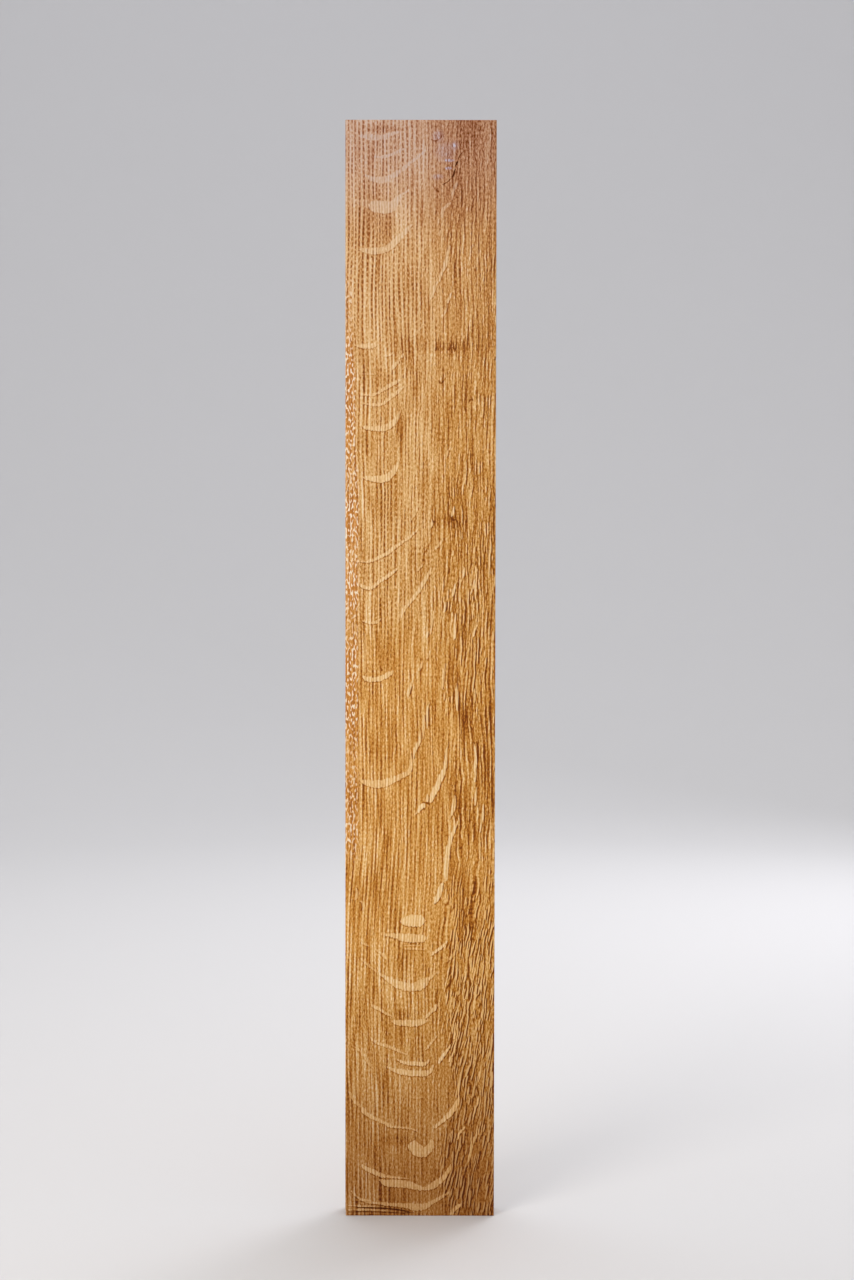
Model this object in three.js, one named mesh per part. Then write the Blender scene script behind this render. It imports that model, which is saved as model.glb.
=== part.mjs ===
// A quarter-sawn oak board standing on its sawn foot, in millimetres with +Z up.
// The origin is the middle of the foot. Seen from the front, +X runs across the figured face
// to the right, +Y runs through the thickness to the back and +Z runs up along the grain.
import * as THREE from 'three';

// Driving dimensions
const boardLength = 914.4;
const boardWidth = 125;
const boardThickness = 20;
const longArrisRadius = 0.6; // the four edges along the grain, eased with a few strokes of abrasive
const endArris = 0.3; // the saw's sharp edge around each end, just taken off

// Fineness of the eased edges
const longArrisSteps = 5;
const endArrisSteps = 2;

// The outline of the board's end: a rectangle centred on the origin whose four corners are
// quarter circles, drawn anticlockwise from the foot of the right-hand side.
function endOutline() {
  const halfWidth = boardWidth / 2;
  const halfThickness = boardThickness / 2;
  const cornerX = halfWidth - longArrisRadius;
  const cornerY = halfThickness - longArrisRadius;
  const quarter = Math.PI / 2;
  const outline = new THREE.Shape();
  outline.moveTo(halfWidth, -cornerY);
  outline.lineTo(halfWidth, cornerY);
  outline.absarc(cornerX, cornerY, longArrisRadius, 0, quarter);
  outline.lineTo(-cornerX, halfThickness);
  outline.absarc(-cornerX, cornerY, longArrisRadius, quarter, 2 * quarter);
  outline.lineTo(-halfWidth, -cornerY);
  outline.absarc(-cornerX, -cornerY, longArrisRadius, 2 * quarter, 3 * quarter);
  outline.lineTo(cornerX, -halfThickness);
  outline.absarc(cornerX, -cornerY, longArrisRadius, 3 * quarter, 4 * quarter);
  return outline;
}

// The board's solid: the end outline carried up the grain, with a small round-over drawn
// inwards at both ends so that the full length and width stay as stated.
function boardGeometry() {
  const geometry = new THREE.ExtrudeGeometry(endOutline(), {
    depth: boardLength - 2 * endArris,
    curveSegments: longArrisSteps,
    bevelEnabled: true,
    bevelThickness: endArris,
    bevelSize: endArris,
    bevelOffset: -endArris,
    bevelSegments: endArrisSteps,
  });
  geometry.translate(0, 0, endArris);
  return geometry;
}

// Planed and lightly sanded bare oak: a warm tan with a dull, dry surface.
const planedOak = new THREE.MeshStandardMaterial({
  color: 0xc38e57,
  roughness: 0.62,
  metalness: 0,
});

const oakBoard = new THREE.Mesh(boardGeometry(), planedOak);
oakBoard.name = 'oak_board';

const part = new THREE.Group();
part.add(oakBoard);

export default part;
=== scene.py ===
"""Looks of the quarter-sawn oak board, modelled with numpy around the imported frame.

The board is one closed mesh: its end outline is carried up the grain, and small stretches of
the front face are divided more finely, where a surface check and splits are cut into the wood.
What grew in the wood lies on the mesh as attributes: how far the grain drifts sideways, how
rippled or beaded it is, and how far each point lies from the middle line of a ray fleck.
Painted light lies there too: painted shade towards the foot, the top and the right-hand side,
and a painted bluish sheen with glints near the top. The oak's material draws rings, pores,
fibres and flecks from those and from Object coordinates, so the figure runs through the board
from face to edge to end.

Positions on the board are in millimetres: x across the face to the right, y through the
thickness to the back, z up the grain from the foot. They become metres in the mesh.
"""

import logging
import math
from dataclasses import dataclass
from enum import Enum
from typing import ClassVar

import bpy
import numpy as np
from mathutils import Euler, Matrix, Vector


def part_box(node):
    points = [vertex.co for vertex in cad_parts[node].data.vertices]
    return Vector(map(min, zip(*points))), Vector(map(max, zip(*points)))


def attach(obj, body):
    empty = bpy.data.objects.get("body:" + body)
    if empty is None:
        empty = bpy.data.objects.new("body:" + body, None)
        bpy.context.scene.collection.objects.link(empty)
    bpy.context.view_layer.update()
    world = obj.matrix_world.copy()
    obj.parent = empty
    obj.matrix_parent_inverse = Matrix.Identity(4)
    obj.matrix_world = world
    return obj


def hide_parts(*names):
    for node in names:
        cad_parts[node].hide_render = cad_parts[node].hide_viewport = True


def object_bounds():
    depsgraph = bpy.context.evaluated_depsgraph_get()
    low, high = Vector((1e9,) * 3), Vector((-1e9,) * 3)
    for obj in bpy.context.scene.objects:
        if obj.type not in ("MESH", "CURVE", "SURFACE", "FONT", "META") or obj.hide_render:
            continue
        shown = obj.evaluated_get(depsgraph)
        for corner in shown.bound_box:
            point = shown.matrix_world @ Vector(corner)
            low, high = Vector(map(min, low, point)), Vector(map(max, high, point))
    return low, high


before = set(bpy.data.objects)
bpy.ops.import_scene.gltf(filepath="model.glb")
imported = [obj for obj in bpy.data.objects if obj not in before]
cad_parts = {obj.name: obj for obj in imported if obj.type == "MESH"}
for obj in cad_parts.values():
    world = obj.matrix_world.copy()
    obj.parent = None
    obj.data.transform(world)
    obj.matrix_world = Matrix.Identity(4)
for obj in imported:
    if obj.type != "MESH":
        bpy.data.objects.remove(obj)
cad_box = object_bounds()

log = logging.getLogger("oak_board")

METRES = 0.001

Tree = bpy.types.NodeTree
Socket = bpy.types.NodeSocket
Size = tuple[float, float, float]


class Kind(Enum):
    """The kinds of shader node that the materials use."""

    ATTRIBUTE = "ShaderNodeAttribute"
    BUMP = "ShaderNodeBump"
    COMBINE = "ShaderNodeCombineXYZ"
    COORDINATE = "ShaderNodeTexCoord"
    MATH = "ShaderNodeMath"
    MIX = "ShaderNodeMix"
    NOISE = "ShaderNodeTexNoise"
    OUTPUT = "ShaderNodeOutputMaterial"
    RAMP = "ShaderNodeValToRGB"
    RANGE = "ShaderNodeMapRange"
    SEPARATE = "ShaderNodeSeparateXYZ"
    SHADER = "ShaderNodeBsdfPrincipled"
    VECTOR = "ShaderNodeVectorMath"


class Blend(Enum):
    """How a tint joins the colour under it: laid over it, or multiplied in so that it darkens."""

    LAID = "MIX"
    MULTIPLIED = "MULTIPLY"


# A range that goes from one end to the other along 3t² - 2t³.
SOFT: dict[str, str] = {"interpolation_type": "SMOOTHSTEP"}


def linear(hex_colour: str) -> tuple[float, float, float, float]:
    """Turns an sRGB hex colour into linear red, green, blue and alpha.

    Args:
        hex_colour: Six hex digits, such as "c38e57".

    Returns:
        Each channel c as c / 12.92 below 0.04045, else ((c + 0.055) / 1.055) to the power 2.4.
    """
    channels = [int(hex_colour[i : i + 2], 16) / 255 for i in (0, 2, 4)]
    bent = [c / 12.92 if c <= 0.04045 else ((c + 0.055) / 1.055) ** 2.4 for c in channels]
    return (bent[0], bent[1], bent[2], 1.0)


def add(
    tree: Tree, kind: Kind, inputs: dict | None = None, output: int | str = 0, **settings: object
) -> Socket | None:
    """Adds one node with its settings and links.

    Args:
        tree: The material's node tree.
        kind: Which node to add.
        inputs: Input socket name or number to a value, or to the socket that feeds it.
        output: Which output socket to return.
        **settings: The node's own settings.

    Returns:
        The chosen output socket, or None where the node has none.
    """
    made = tree.nodes.new(kind.value)
    for name, value in settings.items():
        setattr(made, name, value)
    for key, value in (inputs or {}).items():
        if isinstance(value, Socket):
            tree.links.new(value, made.inputs[key])
        else:
            made.inputs[key].default_value = value
    return made.outputs[output] if len(made.outputs) else None


def grown(tree: Tree, name: str) -> tuple[Socket, Socket, Socket]:
    """Reads one of the mesh's attributes as its three values.

    Args:
        tree: The material's node tree.
        name: The attribute's name.

    Returns:
        The three values' sockets.
    """
    vector = add(tree, Kind.ATTRIBUTE, output="Vector", attribute_name=name)
    first, second, third = add(tree, Kind.SEPARATE, {0: vector}).node.outputs
    return first, second, third


def weighted_sum(tree: Tree, start: Socket | float, *parts: tuple[Socket, Socket | float]) -> Socket:
    """Works out start + part × weight + part × weight and so on, from left to right.

    Args:
        tree: The material's node tree.
        start: What the parts are added to.
        *parts: Each part with its weight.

    Returns:
        The sum's socket.
    """
    total = start
    for part, weight in parts:
        total = add(tree, Kind.MATH, {0: part, 1: weight, 2: total}, operation="MULTIPLY_ADD")
    return total


def smooth(low: float, high: float, value: np.ndarray) -> np.ndarray:
    """Goes from 0 at low to 1 at high along 3t² - 2t³; low may be the larger."""
    t = np.clip((value - low) / (high - low), 0.0, 1.0)
    return t * t * (3.0 - 2.0 * t)


@dataclass(frozen=True)
class Viewpoint:
    """Where the photograph was taken from: metres from the front face, degrees and millimetres."""

    x: float = 0.0055
    distance: float = 1.480
    height: float = 0.533
    pitch_down: float = 1.86
    roll: float = 0.09
    lens: float = 50.0
    sensor: float = 36.0

    def ruler(self, z: np.ndarray, length: float) -> np.ndarray:
        """Turns heights on the board into readings of an even ruler laid over the photograph.

        Seen from here a height stands at (d sin p + r cos p) / (d cos p - r sin p), where d is
        the distance, p the pitch and r the rise above the camera. The ruler runs evenly between
        where the foot and the top stand. The places of the figure are such readings.

        Args:
            z: Heights on the board in millimetres.
            length: The board's length in millimetres.

        Returns:
            The readings, 0 at the foot and length at the top.
        """
        pitch = math.radians(self.pitch_down)
        rise = np.concatenate([[0.0, length], np.ravel(z)]) * METRES - self.height
        seen = self.distance * math.sin(pitch) + rise * math.cos(pitch)
        seen = seen / (self.distance * math.cos(pitch) - rise * math.sin(pitch))
        return length * (seen[2:] - seen[0]) / (seen[1] - seen[0])


VIEWPOINT = Viewpoint()


@dataclass(frozen=True)
class Undulation:
    """A smooth, slowly varying field over the face, the sum of a few seeded cosines."""

    seed: int
    across: float
    along: float
    waves: int = 7

    def at(self, x: np.ndarray, z: np.ndarray) -> np.ndarray:
        """Adds cosines of random direction and phase whose wavelengths lie near across and along.

        Args:
            x: Places across the face.
            z: Places up the grain.

        Returns:
            Values mostly between -1 and 1.
        """
        draw = np.random.default_rng(self.seed)
        total = np.zeros_like(x)
        for _ in range(self.waves):
            turns_x = draw.uniform(-1.0, 1.0) / self.across
            turns_z = draw.uniform(0.4, 1.3) / self.along
            total += np.cos(2 * math.pi * (turns_x * x + turns_z * z + draw.uniform()))
        return total / math.sqrt(self.waves)


@dataclass(frozen=True)
class Patch:
    """An oval patch of the face: how much it counts, its middle, half its width and height."""

    amount: float
    x: float
    z: float
    half_width: float
    half_height: float

    CORE: ClassVar[float] = 0.35
    FADE: ClassVar[float] = 1.35

    def at(self, x: np.ndarray, z: np.ndarray) -> np.ndarray:
        """Gives the whole amount within CORE of the rim, falling smoothly to 0 at FADE of it."""
        reach = np.hypot((x - self.x) / self.half_width, (z - self.z) / self.half_height)
        return self.amount * smooth(self.FADE, self.CORE, reach)


@dataclass(frozen=True)
class Stroke:
    """A tapered line on the face: a ray fleck, a dark mark or a check.

    points are (x, z, half width) along its middle line, and strength is how pale, dark or deep
    it is.
    """

    strength: float
    points: tuple[tuple[float, float, float], ...]

    SAMPLE_STEP: ClassVar[float] = 0.6
    END_TAPER: ClassVar[float] = 1.6

    def centreline(self) -> np.ndarray:
        """Carries a curve through the points, cubic between them.

        At each point it runs parallel to the line that joins the points beside it.

        Returns:
            Rows of x, z and half width, about SAMPLE_STEP apart.
        """
        p = np.array(self.points, float)
        before = 2 * p[0] - p[1]
        after = 2 * p[-1] - p[-2]
        p = np.vstack([before, p, after])
        rows = []
        for a, b, c, d in zip(p[:-3], p[1:-2], p[2:-1], p[3:]):
            steps = max(2, int(np.hypot(*(c - b)[:2]) / self.SAMPLE_STEP))
            s = np.linspace(0, 1, steps, endpoint=False)[:, None]
            curve = 2 * b + (c - a) * s + (2 * a - 5 * b + 4 * c - d) * s**2 + (3 * b - 3 * c + d - a) * s**3
            rows.append(curve / 2)
        rows.append(p[-2][None, :])
        return np.vstack(rows)

    def measure(self, x: np.ndarray, z: np.ndarray) -> tuple[np.ndarray, np.ndarray]:
        """Finds how far points lie across the stroke and how wide it is beside them.

        The distance is signed, measured square to the nearest piece of the middle line. Past
        an end the half width falls by END_TAPER for each millimetre, so the stroke closes.

        Args:
            x: Places across the face.
            z: Places up the grain.

        Returns:
            The signed distance and the half width, in millimetres.
        """
        line = self.centreline()
        tangent = np.gradient(line[:, :2], axis=0)
        tangent /= np.linalg.norm(tangent, axis=1, keepdims=True) + 1e-9
        dx = x[:, None] - line[None, :, 0]
        dz = z[:, None] - line[None, :, 1]
        near = np.argmin(dx * dx + dz * dz, axis=1)
        pick = np.arange(len(x))
        dx, dz = dx[pick, near], dz[pick, near]
        tx, tz = tangent[near, 0], tangent[near, 1]
        along = dx * tx + dz * tz
        past = np.where(near == len(line) - 1, along, 0.0) - np.where(near == 0, along, 0.0)
        half = line[near, 2] - self.END_TAPER * np.maximum(past, 0.0)
        return dx * tz - dz * tx, half

    def reach(self, x: np.ndarray, z: np.ndarray, margin: float) -> np.ndarray:
        """Picks the points within the stroke's own rectangle, grown by its width and a margin.

        Args:
            x: Places across the face.
            z: Places up the grain.
            margin: How far past the stroke's widest half it looks, in millimetres.

        Returns:
            The numbers of the points picked.
        """
        p = np.array(self.points, float)
        grow = p[:, 2].max() + margin
        low, high = p[:, :2].min(axis=0) - grow, p[:, :2].max(axis=0) + grow
        inside = (x > low[0]) & (x < high[0]) & (z > low[1]) & (z < high[1])
        return np.nonzero(inside)[0]


# Ray flecks of the front face, from the foot up: how pale each is, then its middle line.
FOOT_FLECKS: tuple[Stroke, ...] = (
    Stroke(0.9, ((-61, 4.8, 0.3), (-48, 4.9, 0.6), (-36, 4.6, 0.6), (-24, 3.9, 0.3))),
    Stroke(0.9, ((-61, 8.6, 0.3), (-50, 8.0, 0.6), (-38, 7.8, 0.5), (-30, 7.4, 0.3))),
    Stroke(0.4, ((-8, 98.6, 0.4), (-3, 98.4, 0.8), (3, 98.6, 0.4))),
    Stroke(0.8, ((-58, 21, 0.5), (-51, 14.5, 1.0), (-46, 12.6, 1.2), (-40, 11.2, 1.3), (-30, 9.9, 1.4),
                 (-20, 9.0, 1.6), (-11, 8.4, 2.2), (-5, 7.4, 2.9), (1, 7.2, 2.9), (5, 8.2, 2.5),
                 (9, 10.2, 1.7), (14, 13.2, 1.6), (19, 16.0, 1.4), (25, 19.6, 0.5))),
    Stroke(0.9, ((26.2, 1.0, 1.2), (29, 5.0, 1.5), (32.5, 8.0, 1.5), (35.5, 10.0, 0.7))),
    Stroke(0.9, ((-49.5, 43, 0.8), (-46, 39.8, 1.7), (-40, 37.2, 2.0), (-33, 34.0, 1.9), (-25, 32.4, 1.0),
                 (-15, 31.5, 0.6), (-9, 31.0, 0.4))),
    Stroke(0.85, ((-34, 30.0, 0.6), (-28, 27.4, 2.8), (-20, 27.0, 3.1), (-10, 26.0, 3.0), (-3, 24.0, 2.3),
                 (3, 22.7, 1.6), (7, 23.2, 1.9), (12, 25.6, 2.8), (18, 30.0, 2.3), (22, 34.0, 1.8),
                 (25, 39.0, 1.5), (26, 43.0, 0.5))),
    Stroke(0.85, ((-4.0, 61.5, 2.8), (-4.5, 58.5, 5.2), (-1.5, 55.0, 5.4), (3, 53.2, 4.4), (7, 55.2, 3.4),
                 (9.2, 58.5, 2.6), (10, 62.0, 1.8), (10.3, 64.0, 0.7))),
    Stroke(0.6, ((-60, 104, 0.6), (-57, 99, 1.2), (-53, 94, 1.6), (-50, 91.0, 1.0))),
    Stroke(0.8, ((-48.5, 90, 1.2), (-47, 87.8, 2.2), (-43.5, 84.2, 1.8), (-40, 82, 1.5), (-35, 80, 1.3),
                 (-30, 77.5, 1.4), (-25, 74.9, 1.0), (-20, 73.8, 0.9), (-14, 73.5, 0.9), (-8, 72.8, 0.6),
                 (-4, 71.5, 0.5), (-2, 70.4, 0.3))),
    Stroke(1.0, ((12, 73, 0.5), (16, 76.5, 1.2), (20, 80, 1.8), (25, 84.7, 2.2), (29, 90, 2.0),
                 (32, 96, 1.5), (33.5, 101, 0.6))),
    Stroke(1.1, ((31.5, 63, 0.7), (33, 68, 1.0), (36, 72, 0.8), (38, 74.5, 0.3))),
    Stroke(0.8, ((41, 45, 0.6), (43, 55, 1.0), (45, 62, 1.2), (48, 68, 1.1), (50, 72.5, 0.4))),
    Stroke(0.8, ((44, 76, 0.6), (45, 84, 0.8), (47, 91, 1.1), (49, 96, 1.1), (50, 101, 0.4))),
    Stroke(0.8, ((46.5, 107, 0.7), (49, 114, 0.9), (51, 120, 0.9), (52, 127, 0.4))),
    Stroke(0.7, ((30.8, 99, 0.7), (32.3, 106, 1.2), (33, 112, 1.0), (34.5, 120, 0.4))),
)
LOWER_FLECKS: tuple[Stroke, ...] = (
    Stroke(0.9, ((-27.5, 124.3, 0.6), (-22, 121.8, 1.5), (-15, 120, 2.2), (-8, 119, 2.4), (0, 118.7, 2.4),
                 (5, 118.8, 2.3), (8, 120.3, 1.6), (10, 122.6, 1.2), (11.5, 126.5, 0.4))),
    Stroke(1.0, ((-19, 130.3, 0.5), (-15, 128.3, 1.2), (-10, 127.2, 1.5), (-3, 126.9, 1.6), (3, 126.6, 1.6),
                 (6, 128, 1.1), (8, 130.5, 0.4))),
    Stroke(0.5, ((-57, 142, 0.5), (-52, 139, 1.0), (-48, 135.5, 1.3), (-45, 131, 1.2), (-42, 126.5, 1.1),
                 (-38, 121.5, 0.5))),
    Stroke(0.8, ((-42, 149.5, 0.5), (-39, 146, 1.0), (-35, 143.7, 1.2), (-30, 142.4, 1.3),
                 (-25, 140.6, 1.2), (-20, 138.6, 1.3), (-15, 136.2, 0.9), (-11, 134.5, 0.4))),
    Stroke(0.9, ((4, 137.8, 0.5), (7, 141, 1.0), (10, 145, 1.1), (13, 148.6, 0.9), (14.8, 151, 0.3))),
    Stroke(1.3, ((15.8, 127.5, 1.0), (19, 133, 1.4), (22, 137, 1.2), (25, 141, 0.8), (27, 144.5, 0.3))),
    Stroke(1.2, ((24, 128, 0.6), (27, 134, 1.0), (29, 138, 1.0), (30, 143, 0.8), (31, 148, 0.3))),
    Stroke(0.85, ((-24, 162.6, 0.6), (-20, 161.2, 1.9), (-14, 160.8, 2.4), (-8, 160.4, 2.7),
                 (-3, 160.6, 2.7), (1, 161.8, 2.6), (4, 162.2, 1.8), (6, 162.8, 0.6))),
    Stroke(0.7, ((-41, 176, 0.7), (-37, 173.6, 1.2), (-33, 171.8, 1.3), (-30, 169.7, 1.2),
                 (-26, 167.6, 1.0), (-23, 166, 0.4))),
    Stroke(1.0, ((4, 164.4, 0.5), (7, 167.3, 1.2), (10, 171, 1.5), (13, 173.6, 1.5), (14.5, 176.6, 0.6))),
    Stroke(0.6, ((-50, 215, 0.4), (-45, 210.4, 0.8), (-40, 206.4, 0.8), (-36, 203.2, 0.8))),
    Stroke(0.8, ((-34, 202, 0.8), (-28, 198.2, 1.8), (-24, 195.8, 2.5), (-20, 193.8, 3.2), (-15, 192, 3.5),
                 (-10, 190.8, 3.2), (-5, 190.6, 3.4), (0, 192.4, 4.1), (4, 194.6, 3.2), (7, 197.2, 1.7),
                 (10, 199.9, 1.2), (13.5, 202.6, 0.4))),
    Stroke(1.2, ((9, 217, 0.6), (13, 220.5, 1.2), (17, 223.1, 1.3), (20, 226, 0.9), (23, 229.5, 0.3))),
    Stroke(0.6, ((-15, 222.6, 0.4), (-5, 222.8, 0.9), (4, 222, 0.3))),
    Stroke(1.0, ((-29.5, 234.4, 0.7), (-25, 234.1, 1.5), (-20, 233.3, 2.3), (-15, 232.3, 3.2),
                 (-10, 231.7, 3.5), (-4, 231.4, 3.4), (1, 231.4, 3.4), (3.6, 231.8, 2.7))),
    Stroke(1.1, ((-15.6, 245.6, 2.0), (-12, 245.6, 4.0), (-8, 246, 4.8), (-3, 246.2, 5.0),
                 (0.5, 246.2, 5.0), (2.4, 246.2, 3.8))),
    Stroke(0.7, ((-50, 228.5, 0.6), (-46, 226.7, 1.2), (-42.5, 224.6, 0.5))),
    Stroke(0.7, ((-37, 222, 0.5), (-34, 220, 1.0), (-31, 217.4, 1.2), (-28, 214, 0.7), (-28, 209, 0.5))),
    Stroke(0.8, ((30.5, 222, 0.7), (30.8, 228, 1.2), (30.5, 234, 1.0), (30, 238, 0.4))),
    Stroke(0.7, ((23, 212, 0.6), (25.5, 215, 1.1), (28, 218.5, 1.0), (30, 222, 0.4))),
    Stroke(0.8, ((44, 196, 0.5), (45.5, 202, 0.9), (46.5, 208, 0.9), (47, 214, 0.4))),
    Stroke(0.8, ((36, 194, 0.5), (38, 199, 0.9), (39.5, 205, 0.8), (40, 209, 0.3))),
    Stroke(1.3, ((28.4, 172.6, 0.4), (29, 177, 0.9), (30.3, 181.5, 0.4))),
    Stroke(0.8, ((31.2, 183.5, 0.4), (32, 186, 0.8), (32.4, 188.5, 0.4))),
    Stroke(1.1, ((28, 147, 0.4), (29.3, 151, 0.9), (30.4, 155.6, 0.5), (31.2, 158, 0.5), (32.2, 163, 0.6),
                 (32.7, 168, 0.3))),
    Stroke(0.6, ((30.2, 190.5, 0.3), (30.7, 198, 0.6), (31, 206, 0.6), (31.2, 212, 0.3))),
    Stroke(0.7, ((45.5, 150, 0.6), (47, 156, 1.0), (49.5, 161, 0.9), (51.5, 166, 0.8), (52, 171, 0.3))),
    Stroke(0.7, ((43, 168, 0.5), (45, 174, 0.9), (46, 180, 0.9), (48.5, 185, 0.4))),
    Stroke(1.5, ((37, 180.2, 0.8), (37.1, 180.9, 0.8))),
)
MIDDLE_FLECKS: tuple[Stroke, ...] = (
    Stroke(0.8, ((-50.5, 262.5, 0.6), (-48, 261, 1.1), (-47.2, 257.5, 1.2), (-48.2, 253.5, 0.5))),
    Stroke(0.8, ((-54.3, 263, 0.7), (-53, 267, 1.4), (-53, 270.5, 1.0), (-54, 274, 0.3))),
    Stroke(1.4, ((11.5, 260.6, 0.7), (14, 264, 1.9), (16, 269, 2.2), (17.6, 274, 1.7), (19, 278, 0.8))),
    Stroke(1.25, ((22, 280, 1.0), (21.7, 287, 1.9), (22, 294, 2.2), (22.6, 301, 2.1), (23.2, 307, 1.8),
                 (25, 313, 1.5), (27.5, 319.5, 1.4), (30, 325, 1.0), (31.5, 330, 0.3))),
    Stroke(1.1, ((24.5, 331, 0.7), (27, 338, 1.4), (28.5, 344, 1.5), (29, 351, 0.5))),
    Stroke(1.35, ((-3.6, 334.8, 0.6), (-1, 338.8, 1.6), (1.8, 342, 2.1), (3.2, 344, 0.8))),
    Stroke(1.2, ((5.8, 345.5, 1.0), (6, 349, 1.0), (6, 352, 0.3))),
    Stroke(1.3, ((8.8, 345, 1.0), (10.5, 351, 2.2), (13, 356, 2.4), (16, 362, 2.1), (18, 368, 2.2),
                 (20.5, 374, 1.4), (21.5, 381, 1.0), (22, 388, 0.8), (23.5, 395, 0.3))),
    Stroke(0.9, ((-50, 363, 0.8), (-44, 361, 2.4), (-38, 360.3, 3.2), (-32, 360.3, 3.3), (-26, 362, 2.9),
                 (-20, 364.8, 2.4), (-14, 367.6, 2.1), (-10, 370, 1.9), (-8, 373.5, 1.6), (-7.6, 379, 1.4),
                 (-7.8, 386, 0.4))),
    Stroke(1.15, ((-5.6, 381, 0.5), (-5.0, 387, 1.3), (-3, 391.5, 1.5), (-0.8, 396, 1.5), (-0.2, 401, 1.1),
                 (-0.3, 407, 0.4))),
    Stroke(1.2, ((2.6, 397.5, 0.6), (2.6, 406, 1.0), (2.8, 413, 0.8), (3.5, 418, 0.2))),
    Stroke(1.2, ((5.8, 406.5, 0.5), (6, 415, 1.0), (6, 423, 0.9), (7.6, 428, 0.5))),
    Stroke(1.1, ((-10.2, 433, 0.8), (-9.6, 438, 1.3), (-8, 442.5, 1.1), (-6, 447, 0.4))),
    Stroke(1.0, ((-1, 454.5, 0.7), (0.5, 459, 1.3), (2.4, 463.5, 0.5))),
    Stroke(1.0, ((5, 464, 0.5), (6.5, 467, 0.8), (8.2, 471.5, 0.3))),
    Stroke(1.1, ((-48, 450, 0.8), (-44.5, 447.8, 2.0), (-40, 447.2, 2.0), (-35, 447.7, 2.0),
                 (-30, 449.6, 2.0), (-26, 452, 1.9), (-22.6, 454.4, 0.7))),
    Stroke(0.6, ((-46, 453, 0.8), (-46.3, 462, 1.3), (-46, 474, 1.3), (-46, 486, 0.7))),
    Stroke(0.9, ((-48.5, 496.5, 0.5), (-44, 495, 1.0), (-39, 494.8, 1.3), (-35, 496.2, 1.1),
                 (-32.6, 498.8, 0.4))),
    Stroke(0.9, ((-17, 498.6, 0.9), (-15.6, 503.4, 1.4), (-12, 508, 1.5), (-8, 513, 1.6), (-4, 518, 1.6),
                 (-1, 522, 1.7), (1.4, 526.4, 1.7), (4, 531, 1.5), (7, 536, 1.1), (9.4, 541.5, 0.4))),
    Stroke(0.8, ((-3.4, 537.6, 0.4), (0, 541.2, 0.9), (3.4, 545.6, 0.3))),
    Stroke(1.0, ((-50.5, 526.8, 0.8), (-47, 524.6, 1.5), (-43, 523.4, 1.4), (-39, 525, 1.3),
                 (-36, 527.4, 1.1), (-33, 530, 1.3), (-30, 531.8, 1.4), (-26, 534.4, 1.3),
                 (-22, 537.6, 1.0), (-18, 541, 0.3))),
    Stroke(0.9, ((-62, 547, 0.5), (-56, 546.4, 0.6), (-50, 545.9, 0.7), (-44, 545.4, 0.9),
                 (-40, 546.4, 1.0), (-36, 548.5, 1.4), (-32, 550.5, 1.6), (-28, 552.6, 1.6),
                 (-23, 556.5, 1.5), (-18, 560, 1.3), (-13, 563.5, 1.0), (-8, 567, 0.8), (-4, 571, 0.6),
                 (-2, 573.5, 0.3))),
    Stroke(0.7, ((11, 555.5, 0.5), (13.5, 558, 0.9), (16.4, 561.4, 0.8), (19.5, 565.8, 0.3))),
    Stroke(1.2, ((8.8, 574, 0.7), (9.4, 578, 1.2), (9.2, 581, 0.4))),
    Stroke(1.3, ((26, 583.5, 0.7), (27, 588, 1.1), (27.8, 592, 0.3))),
    Stroke(0.6, ((-8, 580, 0.5), (-6, 584, 1.0), (-3.6, 589, 1.0), (-0.6, 595, 0.3))),
    Stroke(1.5, ((26.6, 517, 0.8), (28, 523, 1.1), (30.2, 529.5, 0.3))),
    Stroke(1.3, ((20, 503.5, 0.6), (20.5, 508.5, 1.1), (21, 513, 0.3))),
    Stroke(1.5, ((28, 481, 0.8), (28.5, 490, 1.0), (29, 497, 1.0), (30.3, 505, 0.3))),
    Stroke(1.1, ((8, 485, 0.6), (9, 492, 0.8), (10.5, 499, 0.8), (11, 505.5, 0.3))),
    Stroke(1.1, ((4.6, 482, 0.6), (5.6, 485, 0.9), (7, 488, 0.3))),
    Stroke(1.3, ((34.4, 529, 0.6), (36, 537, 1.0), (37, 541.5, 0.3))),
    Stroke(1.2, ((41.5, 518, 0.6), (44, 526, 0.9), (45.4, 531.5, 0.3))),
    Stroke(1.3, ((43.8, 482.5, 0.8), (45, 488, 1.0), (47.5, 493.5, 0.3))),
    Stroke(1.6, ((31, 421, 0.5), (30.6, 430, 1.1), (30.5, 438, 1.1), (30.4, 445, 0.4))),
    Stroke(1.5, ((45.2, 428, 0.5), (45, 434, 0.9), (45.2, 440, 0.3))),
    Stroke(1.1, ((18, 440, 0.7), (19.2, 447, 1.0), (20, 455, 1.0), (20.6, 461, 0.3))),
    Stroke(1.2, ((19.8, 430, 0.6), (20.2, 434, 0.9), (20.6, 438.5, 0.3))),
    Stroke(1.5, ((45.8, 362, 0.6), (46.4, 368, 1.0), (45.8, 374, 1.0), (46.4, 381, 1.0), (45.6, 388, 0.9),
                 (44.6, 395, 0.3))),
    Stroke(1.4, ((45.8, 342, 0.7), (46.4, 350, 1.1), (46.9, 357.5, 0.5))),
    Stroke(1.2, ((50, 320, 0.6), (51.4, 328, 1.0), (52, 335, 1.0), (52.6, 343.5, 0.3))),
    Stroke(1.4, ((26, 358.6, 0.8), (26.1, 359.3, 0.8))),
)
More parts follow.
